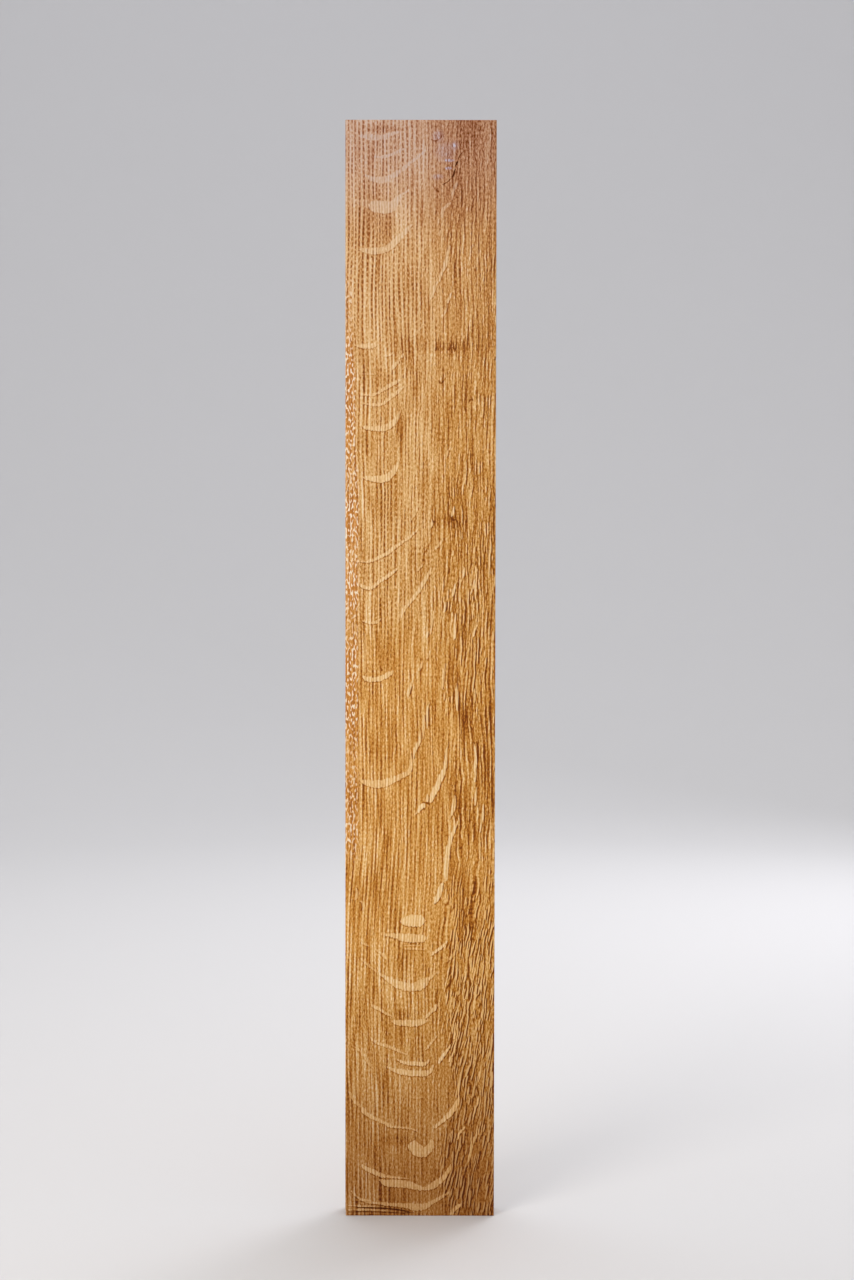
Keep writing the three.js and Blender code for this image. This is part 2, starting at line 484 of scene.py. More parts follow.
UPPER_FLECKS: tuple[Stroke, ...] = (
    Stroke(0.9, ((-48, 616, 0.8), (-42, 615, 2.0), (-36, 614.5, 2.8), (-30, 615, 3.0), (-26, 617, 2.8),
                 (-23, 620.5, 2.2), (-20, 625, 1.6), (-18, 629.5, 0.5))),
    Stroke(0.85, ((-48, 658, 1.0), (-42, 657, 1.9), (-36, 656.8, 2.3), (-30, 657, 2.5), (-26, 659, 2.5),
                 (-22, 662.5, 2.3), (-19, 667, 1.8), (-17, 671.5, 0.6))),
    Stroke(0.8, ((-49, 678, 0.7), (-43, 677, 1.1), (-37, 676.6, 1.2), (-31, 677.6, 1.3), (-28, 680.4, 1.5),
                 (-25, 683, 1.7), (-21, 686, 1.6), (-17, 689, 1.3), (-14, 692.5, 0.4))),
    Stroke(0.8, ((-50, 685.4, 0.7), (-44, 684.6, 0.9), (-39, 685, 1.0), (-35, 686.8, 1.2), (-30, 690, 1.6),
                 (-25, 693, 1.6), (-20, 695.6, 1.4), (-16, 698, 0.5))),
    Stroke(0.9, ((-25.4, 706, 0.8), (-22, 709, 1.6), (-19.2, 713, 0.9))),
    Stroke(1.1, ((-18, 714.6, 0.6), (-16, 717, 1.0), (-14.6, 719.4, 0.4))),
    Stroke(0.7, ((-29, 716.6, 0.5), (-25.4, 718.4, 0.9), (-22, 721, 0.3))),
    Stroke(0.6, ((-51, 702, 0.4), (-44, 702.4, 0.9), (-38, 702, 0.4))),
    Stroke(0.5, ((-8, 635.6, 0.5), (-5, 639, 1.0), (-1.6, 642.6, 0.3))),
    Stroke(0.9, ((21, 631.6, 0.6), (23, 638, 0.8), (25.2, 643, 0.3))),
    Stroke(0.8, ((-54, 726, 1.0), (-48, 725.5, 2.0), (-42, 725.5, 2.3), (-37, 726.6, 1.2))),
    Stroke(0.6, ((-8.6, 732.4, 0.5), (-4, 736, 1.1), (-0.6, 740.4, 0.8), (3.6, 746.6, 0.3))),
    Stroke(0.9, ((7.8, 764.4, 0.7), (10, 770, 1.1), (12, 775, 1.0), (13.8, 779.8, 0.4))),
    Stroke(1.05, ((15.4, 779.6, 0.7), (17, 786, 1.1), (19.4, 791.4, 1.2), (20.6, 797, 1.3), (22, 803, 1.1),
                 (23.8, 809.8, 0.4))),
    Stroke(1.15, ((21.6, 761.4, 0.7), (23.8, 766, 1.0), (25.8, 771.6, 0.4))),
    Stroke(0.8, ((18.8, 750.6, 0.4), (20.8, 756, 0.7), (22, 761, 0.3))),
    Stroke(0.8, ((-51, 806.4, 1.0), (-44, 805, 2.3), (-38, 804.8, 2.8), (-32, 805.6, 2.8),
                 (-27, 807.6, 2.8), (-23, 811, 3.0), (-19, 815, 2.8), (-15, 819, 2.3), (-11, 823.5, 1.6),
                 (-7, 827.6, 0.5))),
    Stroke(0.35, ((-59, 847.4, 0.6), (-52, 846, 1.9), (-46, 844.4, 3.2), (-43, 843.6, 3.6))),
    Stroke(0.9, ((-41.4, 843, 3.6), (-38, 842.2, 4.9), (-34, 841.6, 5.2), (-28, 841.2, 5.0),
                 (-24, 842.6, 4.3), (-21, 846, 3.0), (-18, 850, 1.5), (-14, 853, 1.0), (-9, 857, 0.4))),
    Stroke(0.75, ((-46, 868.4, 0.7), (-42, 865.6, 1.8), (-38, 864.6, 2.5), (-33, 864, 2.8),
                 (-28, 864.8, 2.5), (-24, 867, 2.2), (-20, 869.6, 2.0), (-16, 872.6, 1.8), (-12, 876, 1.5),
                 (-7, 880, 1.2), (-2, 884, 1.0), (3, 888.4, 0.8), (4.4, 894, 0.3))),
    Stroke(0.8, ((-39, 883.6, 0.8), (-33, 883.2, 1.3), (-28, 884.2, 1.4), (-23, 886, 1.4),
                 (-18, 888.3, 1.2), (-13, 891, 0.4))),
    Stroke(0.65, ((-52, 901, 0.8), (-46, 900.3, 2.0), (-40, 899.8, 2.3), (-34, 899.6, 2.2), (-28, 901, 2.0),
                 (-23, 902.8, 1.5), (-17.6, 904.6, 0.6))),
    Stroke(0.8, ((17, 832.6, 0.8), (18, 838, 1.4), (20, 841.6, 1.3), (23, 844, 1.0), (25.4, 845.8, 0.4))),
    Stroke(0.8, ((25.4, 847, 0.7), (26, 853, 1.2), (27.6, 858, 1.2), (29.6, 862, 0.4))),
    Stroke(0.8, ((14, 827, 0.4), (14.4, 830, 0.9), (14.8, 832, 0.3))),
    Stroke(0.8, ((15, 817, 0.4), (15.4, 820, 0.9), (16, 823, 0.3))),
)

# Dark marks of the front face: mineral streaks, pin knots and lines between the split layers.
DARK_MARKS: tuple[Stroke, ...] = (
    Stroke(0.7, ((-61, 1.2, 0.4), (-40, 1.0, 0.5), (-22, 0.9, 0.4), (-10, 0.7, 0.2))),
    Stroke(0.5, ((-58, 12.2, 0.2), (-50, 11.7, 0.3), (-40, 11.9, 0.3), (-33, 11.2, 0.2))),
    Stroke(0.45, ((-50, 9.1, 0.2), (-40, 9.3, 0.3), (-30, 8.2, 0.2), (-16, 7.0, 0.2))),
    Stroke(0.9, ((18.9, 272, 0.5), (19.3, 275.6, 0.7))),
    Stroke(0.8, ((1.4, 345, 0.4), (4.4, 344.6, 0.6), (8.2, 343.2, 0.5))),
    Stroke(0.8, ((-8, 434.6, 0.5), (-7.6, 438.6, 0.6), (-6, 442.6, 0.3))),
    Stroke(0.8, ((-31.8, 454.8, 0.6), (-31.4, 456.2, 0.5))),
    Stroke(0.7, ((-26.6, 476.6, 0.6), (-26.4, 478, 0.5))),
    Stroke(0.7, ((4, 465, 0.3), (5.8, 463.6, 0.6), (7, 462.8, 0.3))),
    Stroke(0.8, ((18.6, 504, 0.3), (18.8, 509, 0.6), (19.2, 512, 0.3))),
    Stroke(0.9, ((22, 501, 0.4), (22.2, 507, 0.7), (22.4, 512, 0.4))),
    Stroke(0.8, ((27.4, 513, 0.4), (28.2, 518, 0.5), (29.6, 523, 0.3))),
    Stroke(0.7, ((2.6, 551.4, 0.3), (5.6, 556.6, 0.5), (9, 563.6, 0.4))),
    Stroke(0.8, ((11.4, 575.6, 0.5), (11.6, 578, 0.8), (11, 580, 0.4))),
    Stroke(0.9, ((25, 583, 0.6), (26.6, 580.6, 0.7), (29.4, 580.6, 0.5), (31.2, 577.2, 0.8),
                 (31.4, 574, 0.4))),
    Stroke(0.7, ((-50.2, 698, 0.5), (-49.6, 700, 0.6))),
    Stroke(0.8, ((-14.8, 699.4, 0.8), (-14.6, 701, 0.7))),
    Stroke(0.8, ((14.4, 697.4, 0.4), (16.4, 694.8, 0.9), (19, 696.6, 0.5), (21.2, 700, 0.3))),
    Stroke(0.8, ((-17.8, 711, 0.7), (-17.4, 712.6, 0.6))),
    Stroke(0.8, ((39.6, 678.6, 0.4), (41.8, 681.2, 0.8), (43.6, 680.4, 0.4))),
    Stroke(0.9, ((61.2, 713.6, 0.7), (61.4, 715.4, 0.7))),
    Stroke(0.7, ((11.6, 721, 0.6), (13.4, 725, 0.9), (12.8, 729, 0.4))),
    Stroke(0.6, ((17, 721, 0.5), (18.6, 725, 0.9), (19, 729, 0.3))),
    Stroke(0.7, ((22.8, 722, 0.8), (24, 725.6, 0.9), (23.4, 729, 0.3))),
    Stroke(0.7, ((28, 720.6, 0.5), (28.6, 724.6, 0.9), (29.4, 728, 0.3))),
    Stroke(0.6, ((33, 722, 0.5), (34, 726, 0.8), (34.4, 730, 0.3))),
    Stroke(0.5, ((37.6, 711, 0.6), (38, 722, 1.2), (38.4, 734, 0.5))),
    Stroke(0.9, ((-24.2, 749.6, 0.6), (-23.9, 750.8, 0.5))),
    Stroke(1.0, ((-40.8, 799.2, 0.7), (-40.6, 800.8, 0.7))),
    Stroke(0.6, ((8, 898.2, 0.3), (12, 896.8, 0.6), (15.6, 898.8, 0.5), (18, 902.4, 0.5), (17, 907, 0.2))),
    Stroke(0.6, ((10, 859, 0.6), (12.4, 856, 0.9), (15, 854.2, 0.6))),
    Stroke(0.8, ((36.4, 370, 0.4), (36.6, 385, 0.6), (36.8, 400, 0.7), (36.4, 415, 0.6), (35.6, 428, 0.3))),
    Stroke(0.7, ((48, 378, 0.4), (48.2, 388, 0.8), (47, 396, 0.5))),
    Stroke(0.8, ((44, 426, 0.3), (43.6, 432, 0.5), (44, 437, 0.3))),
    Stroke(0.8, ((46.8, 424, 0.3), (47.4, 430, 0.6), (46.8, 436, 0.3))),
    Stroke(0.4, ((-38.6, 228, 0.3), (-37.4, 262, 0.7), (-36.8, 300, 0.7), (-37, 331, 0.3))),
    Stroke(0.4, ((-28.6, 268, 0.3), (-28, 300, 0.6), (-28, 348, 0.3))),
    Stroke(0.5, ((-34.6, 454, 0.3), (-34.8, 470, 0.6), (-35, 487, 0.3))),
    Stroke(0.45, ((-48, 492, 0.3), (-47.8, 520, 0.6), (-48, 560, 0.3))),
    Stroke(0.45, ((-38, 498, 0.3), (-38, 518, 0.6), (-38.2, 540, 0.3))),
    Stroke(0.5, ((-34, 490, 0.3), (-33.8, 512, 0.6), (-34, 528, 0.3))),
    Stroke(0.6, ((-29, 466.4, 0.6), (-28.8, 467.8, 0.5))),
    Stroke(0.6, ((48.8, 683.4, 0.6), (49, 684.8, 0.5))),
    Stroke(0.5, ((25, 252.6, 0.7), (27.6, 256, 0.9), (30, 258.4, 0.5))),
    Stroke(0.5, ((46.8, 278, 0.5), (47.4, 281, 0.8), (47, 284, 0.4))),
)

# Checks and splits cut into the front face: depth in millimetres, then the middle line.
CHECKS: tuple[Stroke, ...] = (
    Stroke(0.8, ((17.6, 860.3, 0.15), (20, 861.4, 0.25), (22.6, 863.2, 0.25), (24.6, 865.4, 0.2))),
    Stroke(1.5, ((25.8, 866.6, 0.25), (27, 868.4, 0.5), (27.6, 871, 0.45), (28.2, 873.6, 0.2))),
    Stroke(1.6, ((28.6, 876.4, 0.3), (29.6, 878, 0.6), (30.4, 879.8, 0.25))),
    Stroke(0.7, ((30.8, 881.6, 0.2), (31.6, 883.6, 0.3), (33, 886, 0.3), (35.6, 888.4, 0.15))),
    Stroke(1.2, ((-52, 6.7, 0.3), (-40, 6.4, 0.5), (-30, 6.0, 0.6), (-20, 5.2, 0.65), (-12, 3.9, 0.5),
                 (-8.6, 3.3, 0.2))),
    Stroke(0.8, ((-60, 2.9, 0.3), (-48, 3.2, 0.45), (-36, 3.0, 0.45), (-24, 2.5, 0.45), (-14, 2.2, 0.4),
                 (-5, 2.6, 0.2))),
)


@dataclass(frozen=True)
class Nick:
    """A small dent knocked out of an arris: its centre, its radius and how deep it goes."""

    x: float
    z: float
    radius: float
    depth: float


NICKS: tuple[Nick, ...] = (
    Nick(-62.5, 316.5, 2.4, 0.9),
    Nick(62.5, 714.5, 2.0, 0.5),
    Nick(62.5, 283.0, 2.6, 0.5),
    Nick(-62.5, 2.0, 3.0, 0.8),
)


@dataclass(frozen=True)
class StrokeLayers:
    """The attributes that hold strokes, each a layer on which no two strokes come close.

    names are the attributes. Away from its strokes a layer holds the half width clear, far
    below zero, and margin is how far round a stroke its layer is taken, in millimetres.
    """

    names: tuple[str, ...]
    clear: float = -5.0
    margin: float = 2.3

    def lay(self, strokes: tuple[Stroke, ...], x: np.ndarray, z: np.ndarray) -> np.ndarray:
        """Puts each stroke on the first layer where no other stroke is near.

        So no line shows where one stroke's distance passes into another's. Where every layer
        is taken, the stroke goes on the last, and the nearer of the two wins.

        Args:
            strokes: The strokes of this face.
            x: Places across the face.
            z: Places up the grain.

        Returns:
            For each layer and vertex, the signed distance, the half width and the strength.
        """
        layers = len(self.names)
        made = np.zeros((layers, len(x), 3))
        made[:, :, 1] = self.clear
        taken = np.zeros((layers, len(x)), bool)
        for stroke in strokes:
            pick = stroke.reach(x, z, self.margin)
            across, half = stroke.measure(x[pick], z[pick])
            near = (np.abs(across) < half + self.margin) & (half > -self.margin)
            pick, across, half = pick[near], across[near], half[near]
            free = [k for k in range(layers) if not taken[k, pick].any()]
            layer = free[0] if free else layers - 1
            if not free:
                wins = half - np.abs(across) > made[layer, pick, 1] - np.abs(made[layer, pick, 0])
                pick, across, half = pick[wins], across[wins], half[wins]
            made[layer, pick] = np.column_stack([across, half, np.full(len(pick), stroke.strength)])
            taken[layer, pick] = True
        return made


RAY_LAYERS = StrokeLayers(("ray_1", "ray_2", "ray_3", "ray_4"))
MARK_LAYER = StrokeLayers(("mark",))


@dataclass(frozen=True)
class BackFlecks:
    """The back's own ray flecks: tilted smiles, one above another, in seeded variety."""

    seed: int = 36
    lowest: float = 14.0
    highest: float = 890.0
    rim: float = 60.0
    points: int = 9

    def grow(self) -> tuple[Stroke, ...]:
        """Draws smiles z + rise × a² + tilt × a at a millimetres from their middle, from the foot up.

        The half width falls from the middle to the ends as (1 - s²) to the power 0.6, where s
        runs from -1 to 1. Points past the rim are left out.

        Returns:
            The flecks.
        """
        draw = np.random.default_rng(self.seed)
        strokes = []
        z = self.lowest
        while z < self.highest:
            middle = 20 * math.sin(z / 130) + draw.uniform(-16, 16)
            reach = draw.uniform(7, 34)
            rise = draw.uniform(0.006, 0.02)
            tilt = draw.uniform(-0.25, 0.5)
            thick = draw.uniform(0.5, 3.4)
            steps = np.linspace(-1, 1, self.points)
            along = reach * steps
            xs = middle + along
            zs = z + rise * along**2 + tilt * along + draw.uniform(-0.8, 0.8, self.points)
            halves = thick * (1 - steps**2) ** 0.6 * draw.uniform(0.4, 1.0, self.points) + 0.3
            keep = np.abs(xs) < self.rim
            points = tuple(zip(xs[keep].tolist(), zs[keep].tolist(), halves[keep].tolist()))
            if len(points) > 3:
                strokes.append(Stroke(float(draw.uniform(0.55, 1.0)), points))
            z += draw.uniform(4, 42)
        return tuple(strokes)


# Browner patches of the face (below 0) and paler ones (above 0), in steps of lightness.
SHADED_PATCHES: tuple[Patch, ...] = (
    Patch(-0.11, 23, 725, 15, 8),
    Patch(-0.07, -10, 727, 26, 8),
    Patch(-0.12, 38, 405, 4, 28),
    Patch(-0.16, -20, 63, 13, 5),
    Patch(-0.14, 24, 580, 14, 7),
    Patch(-0.14, -14, 168, 6, 5),
    Patch(-0.14, -33, 907, 20, 3.5),
    Patch(-0.14, 36, 243, 5, 20),
    Patch(-0.10, -57, 285, 4, 34),
    Patch(-0.08, -57, 350, 4, 32),
    Patch(0.14, 45, 676, 6, 5),
    Patch(0.07, -40, 215, 16, 45),
)

# Spots near the top that are smoother, and get painted glints in their colour.
BRIGHT_SPOTS: tuple[Patch, ...] = (
    Patch(1.0, 23.5, 880.5, 4, 1.3),
    Patch(1.0, 22.6, 874, 3, 1.3),
    Patch(0.5, 28, 893, 3, 4),
    Patch(0.4, 14, 867, 5, 2.5),
    Patch(0.4, 14, 901, 5, 5),
    Patch(0.3, 20, 888, 9, 9),
)

# Stretches where the pores break into beads, below the beaded top.
BEADED_PATCHES: tuple[Patch, ...] = (Patch(0.75, -25, 545, 19, 95), Patch(0.3, -30, 640, 26, 70))

# The stretch of the rippled third where the long lines stay plain.
PLAIN_STRETCH = Patch(0.25, 48, 390, 50, 170)


@dataclass
class OakFigure:
    """What grew in the wood, and painted light and shade, as one value for each vertex of the board.

    x and z are each vertex's place across the face and up it, and facing is 1 on the front
    face and 0 elsewhere. Below, smooth(a, b, v) goes from 0 where v is a to 1 where it is b.
    """

    x: np.ndarray
    z: np.ndarray
    facing: np.ndarray

    def drift(self) -> np.ndarray:
        """Says how far the grain has moved to the left of a straight line up the board.

        Cosines give a long bend and a shorter one. Above the pale block the grain also leans
        to the right by a few millimetres, and higher up a little back again.

        Returns:
            Millimetres, below 0 where the grain has moved to the right.
        """
        long_bend = 1.2 * Undulation(3, 260, 620).at(self.x, self.z)
        short_bend = 0.5 * Undulation(8, 70, 150).at(self.x, self.z)
        lean = 4.8 * smooth(225, 330, self.z) - 2.2 * smooth(350, 470, self.z)
        return long_bend + short_bend - lean

    def ripple(self) -> np.ndarray:
        """Says where the grain runs in short waves: the right-hand third, most at the foot.

        It rises across a border that wanders up the board, and sinks a little at the rim and
        in two steps towards the top.

        Returns:
            0 where the grain is straight, 1 where it is rippled most.
        """
        x, z = self.x, self.z
        border = 23 + 5 * Undulation(21, 300, 330).at(x, z) + 5 * smooth(90, 30, z)
        rippled = smooth(border - 12, border + 9, x)
        straight_rim = 1 - 0.5 * smooth(50, 58, x)
        calmer = 1 - 0.35 * smooth(290, 340, z) - 0.25 * smooth(560, 640, z)
        return rippled * straight_rim * calmer

    def lines(self) -> np.ndarray:
        """Says how plainly the years show as long lines: most on the left, least past the middle.

        It falls in steps from left to right, and lower down and at the top a little more, with
        one stretch of the rippled third that keeps them.

        Returns:
            1 where they show in full, less where they are faint.
        """
        x, z = self.x, self.z
        left = 1 - 0.10 * smooth(-32, -20, x) - 0.15 * smooth(-4, 6, x) - 0.14 * smooth(790, 830, z)
        right = 0.05 * smooth(18, 30, x) + smooth(22, 34, x) * PLAIN_STRETCH.at(x, z)
        low = 0.2 * smooth(230, 60, z) * smooth(-40, -20, x)
        high = 0.2 * smooth(780, 880, z) * smooth(-6, 20, x)
        return left + right - low - high

    def scales(self) -> np.ndarray:
        """Says where the waves break the grain into short pale scales with dark edges.

        Right of a wandering border they are strong below the middle of the board, and from
        there up they come and go. Left of it there is a trace of them.

        Returns:
            0 where there are none, 1 and a little more where they are strongest.
        """
        x, z = self.x, self.z
        border = 24 + 4 * Undulation(22, 300, 90).at(x, z)
        right = smooth(border - 8, border + 5, x)
        height = 0.25 + 0.75 * smooth(300, 255, z) + 0.25 * smooth(380, 470, z) * smooth(640, 560, z)
        return right * height + 0.12 * smooth(-46, -20, x) * (1 - right)

    def bead(self) -> np.ndarray:
        """Says where the pores break into rows of beads: towards the top, left of the middle.

        Returns:
            0.1 where the pores are plain lines, up to 1 where they are beads.
        """
        upper = smooth(640, 790, self.z) * smooth(26, -12, self.x)
        left = sum(patch.at(self.x, self.z) for patch in BEADED_PATCHES)
        return np.clip(0.10 + 0.90 * upper + left, 0, 1)

    def chatter(self) -> np.ndarray:
        """Says where short pale dashes crowd the left-hand edge of the front face.

        They fill a strip whose inner border moves out in two steps, in one long stretch of the
        board and a fainter one below it, and cosines make them patchy.

        Returns:
            0 where there are none, about 1 where they crowd.
        """
        x, z = self.x, self.z
        inner = -51.8 - 2.4 * smooth(610, 640, z) - 2.0 * smooth(695, 720, z)
        strip = smooth(inner + 0.8, inner - 0.8, x)
        upper = smooth(365, 395, z) * smooth(810, 700, z) * (1 + 0.4 * smooth(440, 520, z))
        lower = 0.85 * smooth(285, 320, z) * smooth(395, 365, z)
        patchy = np.clip(0.85 + 0.4 * Undulation(31, 900, 60).at(x, z), 0.3, 1.2)
        return strip * (upper + lower) * patchy * self.facing

    def shade(self) -> np.ndarray:
        """Says where the face is browner or paler than usual: the wood's own tone, and painted shade.

        Two sets of cosines vary the tone gently, and patches of browner and paler wood are added.
        Painted shade makes the right browner than the left and the top browner, most of all at the
        top right, and the lower right near the foot a little browner too.

        Returns:
            Steps of lightness, below 0 where it is browner.
        """
        x, z = self.x, self.z
        total = 0.03 * Undulation(44, 60, 240).at(x, z) + 0.03 * Undulation(45, 14, 70).at(x, z)
        # painted shade: the right-hand side darker than the left
        total -= 0.07 * smooth(2, 34, x)
        # painted shade: the top darker, most of all at the top right
        total -= 0.04 * smooth(780, 880, z) + 0.13 * smooth(780, 860, z) * smooth(-2, 14, x)
        # painted shade: the lower right darker near the foot
        total -= 0.04 * smooth(150, 60, z) * smooth(-30, 0, x)
        return total + sum(patch.at(x, z) for patch in SHADED_PATCHES)

    def gloss(self) -> np.ndarray:
        """Says where the wood is smooth enough to shine: the front's top, with its bright spots.

        The material makes it less rough there, and also paints a bluish sheen and glints into its colour.

        Returns:
            0 where it is dull, about 1 in the haze of the top and up to about 4 in a bright spot.
        """
        x, z = self.x, self.z
        haze = 0.35 * smooth(620, 905, z) + (0.75 + 0.10 * smooth(20, -10, x)) * smooth(800, 900, z)
        spots = sum(spot.at(x, z) for spot in BRIGHT_SPOTS)
        return haze * (0.25 + 0.75 * self.facing) + 2.6 * spots * self.facing

    def milk(self) -> np.ndarray:
        """Says where the pale wood is creamier: the upper half, left of the middle."""
        return 1.05 * smooth(470, 550, self.z) * smooth(26, 2, self.x)

    def gold(self) -> np.ndarray:
        """Says where the wood is yellower: the lower middle."""
        return smooth(190, 250, self.z) * smooth(500, 450, self.z)

    def foot(self) -> np.ndarray:
        """Says how much painted shade darkens and browns the wood towards the foot."""
        return smooth(235, 0, self.z)

    def attributes(self) -> dict[str, np.ndarray]:
        """Gathers the values in threes, under the names that the material reads.

        Returns:
            Each attribute's rows of three, one row for each vertex.
        """
        threes = {
            "hue": (self.milk(), self.gold(), np.zeros_like(self.x)),
            "grain": (self.drift(), self.ripple(), self.bead()),
            "tone": (self.shade(), self.chatter(), self.gloss()),
            "zone": (self.scales(), self.foot(), self.lines()),
        }
        return {name: np.column_stack(values) for name, values in threes.items()}


# The bake's charts: front, back, left and right edge, foot and top. Each has the axis that
# runs across it and the one that runs up it, then its left, foot, width and height on the map.
BAKE_CHARTS: tuple[tuple[int, int, float, float, float, float], ...] = (
    (0, 2, 0.005, 0.005, 0.31, 0.99),
    (0, 2, 0.325, 0.005, 0.31, 0.99),
    (1, 2, 0.645, 0.005, 0.115, 0.99),
    (1, 2, 0.77, 0.005, 0.115, 0.99),
    (1, 0, 0.895, 0.005, 0.1, 0.48),
    (1, 0, 0.895, 0.505, 0.1, 0.48),
)


@dataclass
class BoardMesh:
    """The board as one closed mesh, in millimetres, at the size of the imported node.

    The steps are the cells' sizes on the front, the back and the edges, and finer is how
    many times closer they lie round the checks. A point within touch of a side lies on it.
    crease is the angle in degrees from which an edge shows sharp. check_margin is how far
    round a check the mesh is fine, narrowest is the least half width it is cut with, and
    nick_back is how far a nick presses backwards for each millimetre sideways.
    """

    width: float
    thickness: float
    length: float
    arris: float = 0.6
    end_arris: float = 0.3
    front_step: float = 1.5
    back_step: float = 4.0
    edge_step: float = 5.0
    arris_steps: int = 3
    finer: int = 5
    touch: float = 0.01
    crease: float = 24.0
    check_margin: float = 1.2
    narrowest: float = 0.05
    nick_back: float = 0.7

    def outline(self, inset: float) -> np.ndarray:
        """Gives the end outline, from the front's left-hand end round by the right.

        It is a rectangle with quarter-circle corners. An inset draws the sides and the corner
        circles inwards by that much about the same corner centres.

        Args:
            inset: How far inside the full outline it runs.

        Returns:
            Rows of x and y.
        """
        cx, cy = self.width / 2 - self.arris, self.thickness / 2 - self.arris
        radius = self.arris - inset
        front = np.linspace(-cx, cx, self.front_columns + 1)
        back = np.linspace(cx, -cx, self.back_columns + 1)
        edge = np.linspace(-cy, cy, self.edge_columns + 1)
        turn = np.linspace(0, math.pi / 2, self.arris_steps + 1)[1:-1]
        sides = [
            np.column_stack([front, np.full_like(front, -cy - radius)]),
            np.column_stack([cx + radius * np.sin(turn), -cy - radius * np.cos(turn)]),
            np.column_stack([np.full_like(edge, cx + radius), edge]),
            np.column_stack([cx + radius * np.cos(turn), cy + radius * np.sin(turn)]),
            np.column_stack([back, np.full_like(back, cy + radius)]),
            np.column_stack([-cx - radius * np.sin(turn), cy + radius * np.cos(turn)]),
            np.column_stack([np.full_like(edge, -cx - radius), -edge]),
            np.column_stack([-cx - radius * np.cos(turn), -cy - radius * np.sin(turn)]),
        ]
        return np.vstack(sides)

    @property
    def front_columns(self) -> int:
        """How many cells the front face has across."""
        return round((self.width - 2 * self.arris) / self.front_step)

    @property
    def back_columns(self) -> int:
        """How many cells the back face has across."""
        return round((self.width - 2 * self.arris) / self.back_step)

    @property
    def edge_columns(self) -> int:
        """How many cells each narrow edge has across."""
        return round((self.thickness - 2 * self.arris) / self.edge_step)

    def heights(self) -> np.ndarray:
        """Gives the rows' heights: the two ends, and even steps between the end arrises.

        Returns:
            The heights, from the foot up.
        """
        rows = round((self.length - 2 * self.end_arris) / self.front_step)
        inner = np.linspace(self.end_arris, self.length - self.end_arris, rows + 1)
        return np.concatenate([[0.0], inner, [self.length]])

    def tube(self) -> tuple[np.ndarray, np.ndarray]:
        """Carries the outline up the grain, drawn in a little at both ends.

        Returns:
            The points as rows by columns by xyz, and the four corners of each cell as rows by
            columns by four vertex numbers.
        """
        z = self.heights()
        full, drawn_in = self.outline(0.0), self.outline(self.end_arris)
        points = np.empty((len(z), len(full), 3))
        points[:, :, :2] = full
        points[[0, -1], :, :2] = drawn_in
        points[:, :, 2] = z[:, None]
        here = np.arange(len(z) * len(full)).reshape(len(z), len(full))
        right = np.roll(here, -1, axis=1)
        cells = np.stack([here[:-1], right[:-1], right[1:], here[1:]], axis=-1)
        return points, cells

    def fine_blocks(self, z: np.ndarray) -> list[tuple[int, int, int, int]]:
        """Finds the blocks of front cells that the checks run through.

        Args:
            z: The rows' heights.

        Returns:
            First and last column and row of each block, with checks that lie close sharing one.
        """
        cx = self.width / 2 - self.arris
        x = np.linspace(-cx, cx, self.front_columns + 1)
        read = VIEWPOINT.ruler(z, self.length)
        blocks: list[list[int]] = []
        for check in CHECKS:
            p = np.array(check.points)
            low = p[:, :2].min(axis=0) - self.check_margin
            high = p[:, :2].max(axis=0) + self.check_margin
            c0 = max(1, int(np.searchsorted(x, low[0])) - 1)
            c1 = min(len(x) - 2, int(np.searchsorted(x, high[0])))
            r0 = max(2, int(np.searchsorted(read, low[1])) - 1)
            r1 = min(len(z) - 3, int(np.searchsorted(read, high[1])))
            for block in blocks:
                if c0 <= block[1] + 1 and block[0] <= c1 + 1 and r0 <= block[3] + 1 and block[2] <= r1 + 1:
                    block[:] = [min(block[0], c0), max(block[1], c1), min(block[2], r0), max(block[3], r1)]
                    break
            else:
                blocks.append([c0, c1, r0, r1])
        return [tuple(block) for block in blocks]

    def refine(self, points: np.ndarray, cells: np.ndarray) -> tuple[np.ndarray, list[list[int]]]:
        """Divides the blocks round the checks more finely and joins them to their neighbours.

        A block's cells give way to a grid that is finer times as close. The cells beside it
        take the new points on the shared side into their own outline, so nothing gapes.

        Args:
            points: The tube's points, rows by columns by xyz.
            cells: The tube's cells.

        Returns:
            All points as rows of xyz, and all faces as lists of vertex numbers.
        """
        z = points[:, 0, 2]
        columns = points.shape[1]
        loose = [points.reshape(-1, 3)]
        used = points.shape[0] * columns
        keep = np.ones(cells.shape[:2], bool)
        wide: dict[tuple[int, int], list[int]] = {}
        fine_faces: list[list[int]] = []
        for c0, c1, r0, r1 in self.fine_blocks(z):
            keep[r0:r1, c0:c1] = False
            across = (c1 - c0) * self.finer
            up = (r1 - r0) * self.finer
            coarse_x = points[r0, c0 : c1 + 1, 0]
            xs = np.interp(np.arange(across + 1) / self.finer, np.arange(c1 - c0 + 1), coarse_x)
            zs = np.interp(np.arange(up + 1) / self.finer, np.arange(r1 - r0 + 1), z[r0 : r1 + 1])
            number = np.full((up + 1, across + 1), -1)
            coarse = np.arange(r0, r1 + 1)[:, None] * columns + np.arange(c0, c1 + 1)[None, :]
            number[:: self.finer, :: self.finer] = coarse
            new = number < 0
            number[new] = used + np.arange(new.sum())
            grid = np.stack(np.broadcast_arrays(xs[None, :], points[r0, c0, 1], zs[:, None]), axis=-1)
            loose.append(grid[new])
            used += int(new.sum())
            quads = np.stack([number[:-1, :-1], number[:-1, 1:], number[1:, 1:], number[1:, :-1]], axis=-1)
            fine_faces.extend(quads.reshape(-1, 4).tolist())
            n = self.finer
            for c in range(c0, c1):
                s = (c - c0) * n
                foot, top = number[0, s : s + n + 1].tolist(), number[-1, s : s + n + 1].tolist()
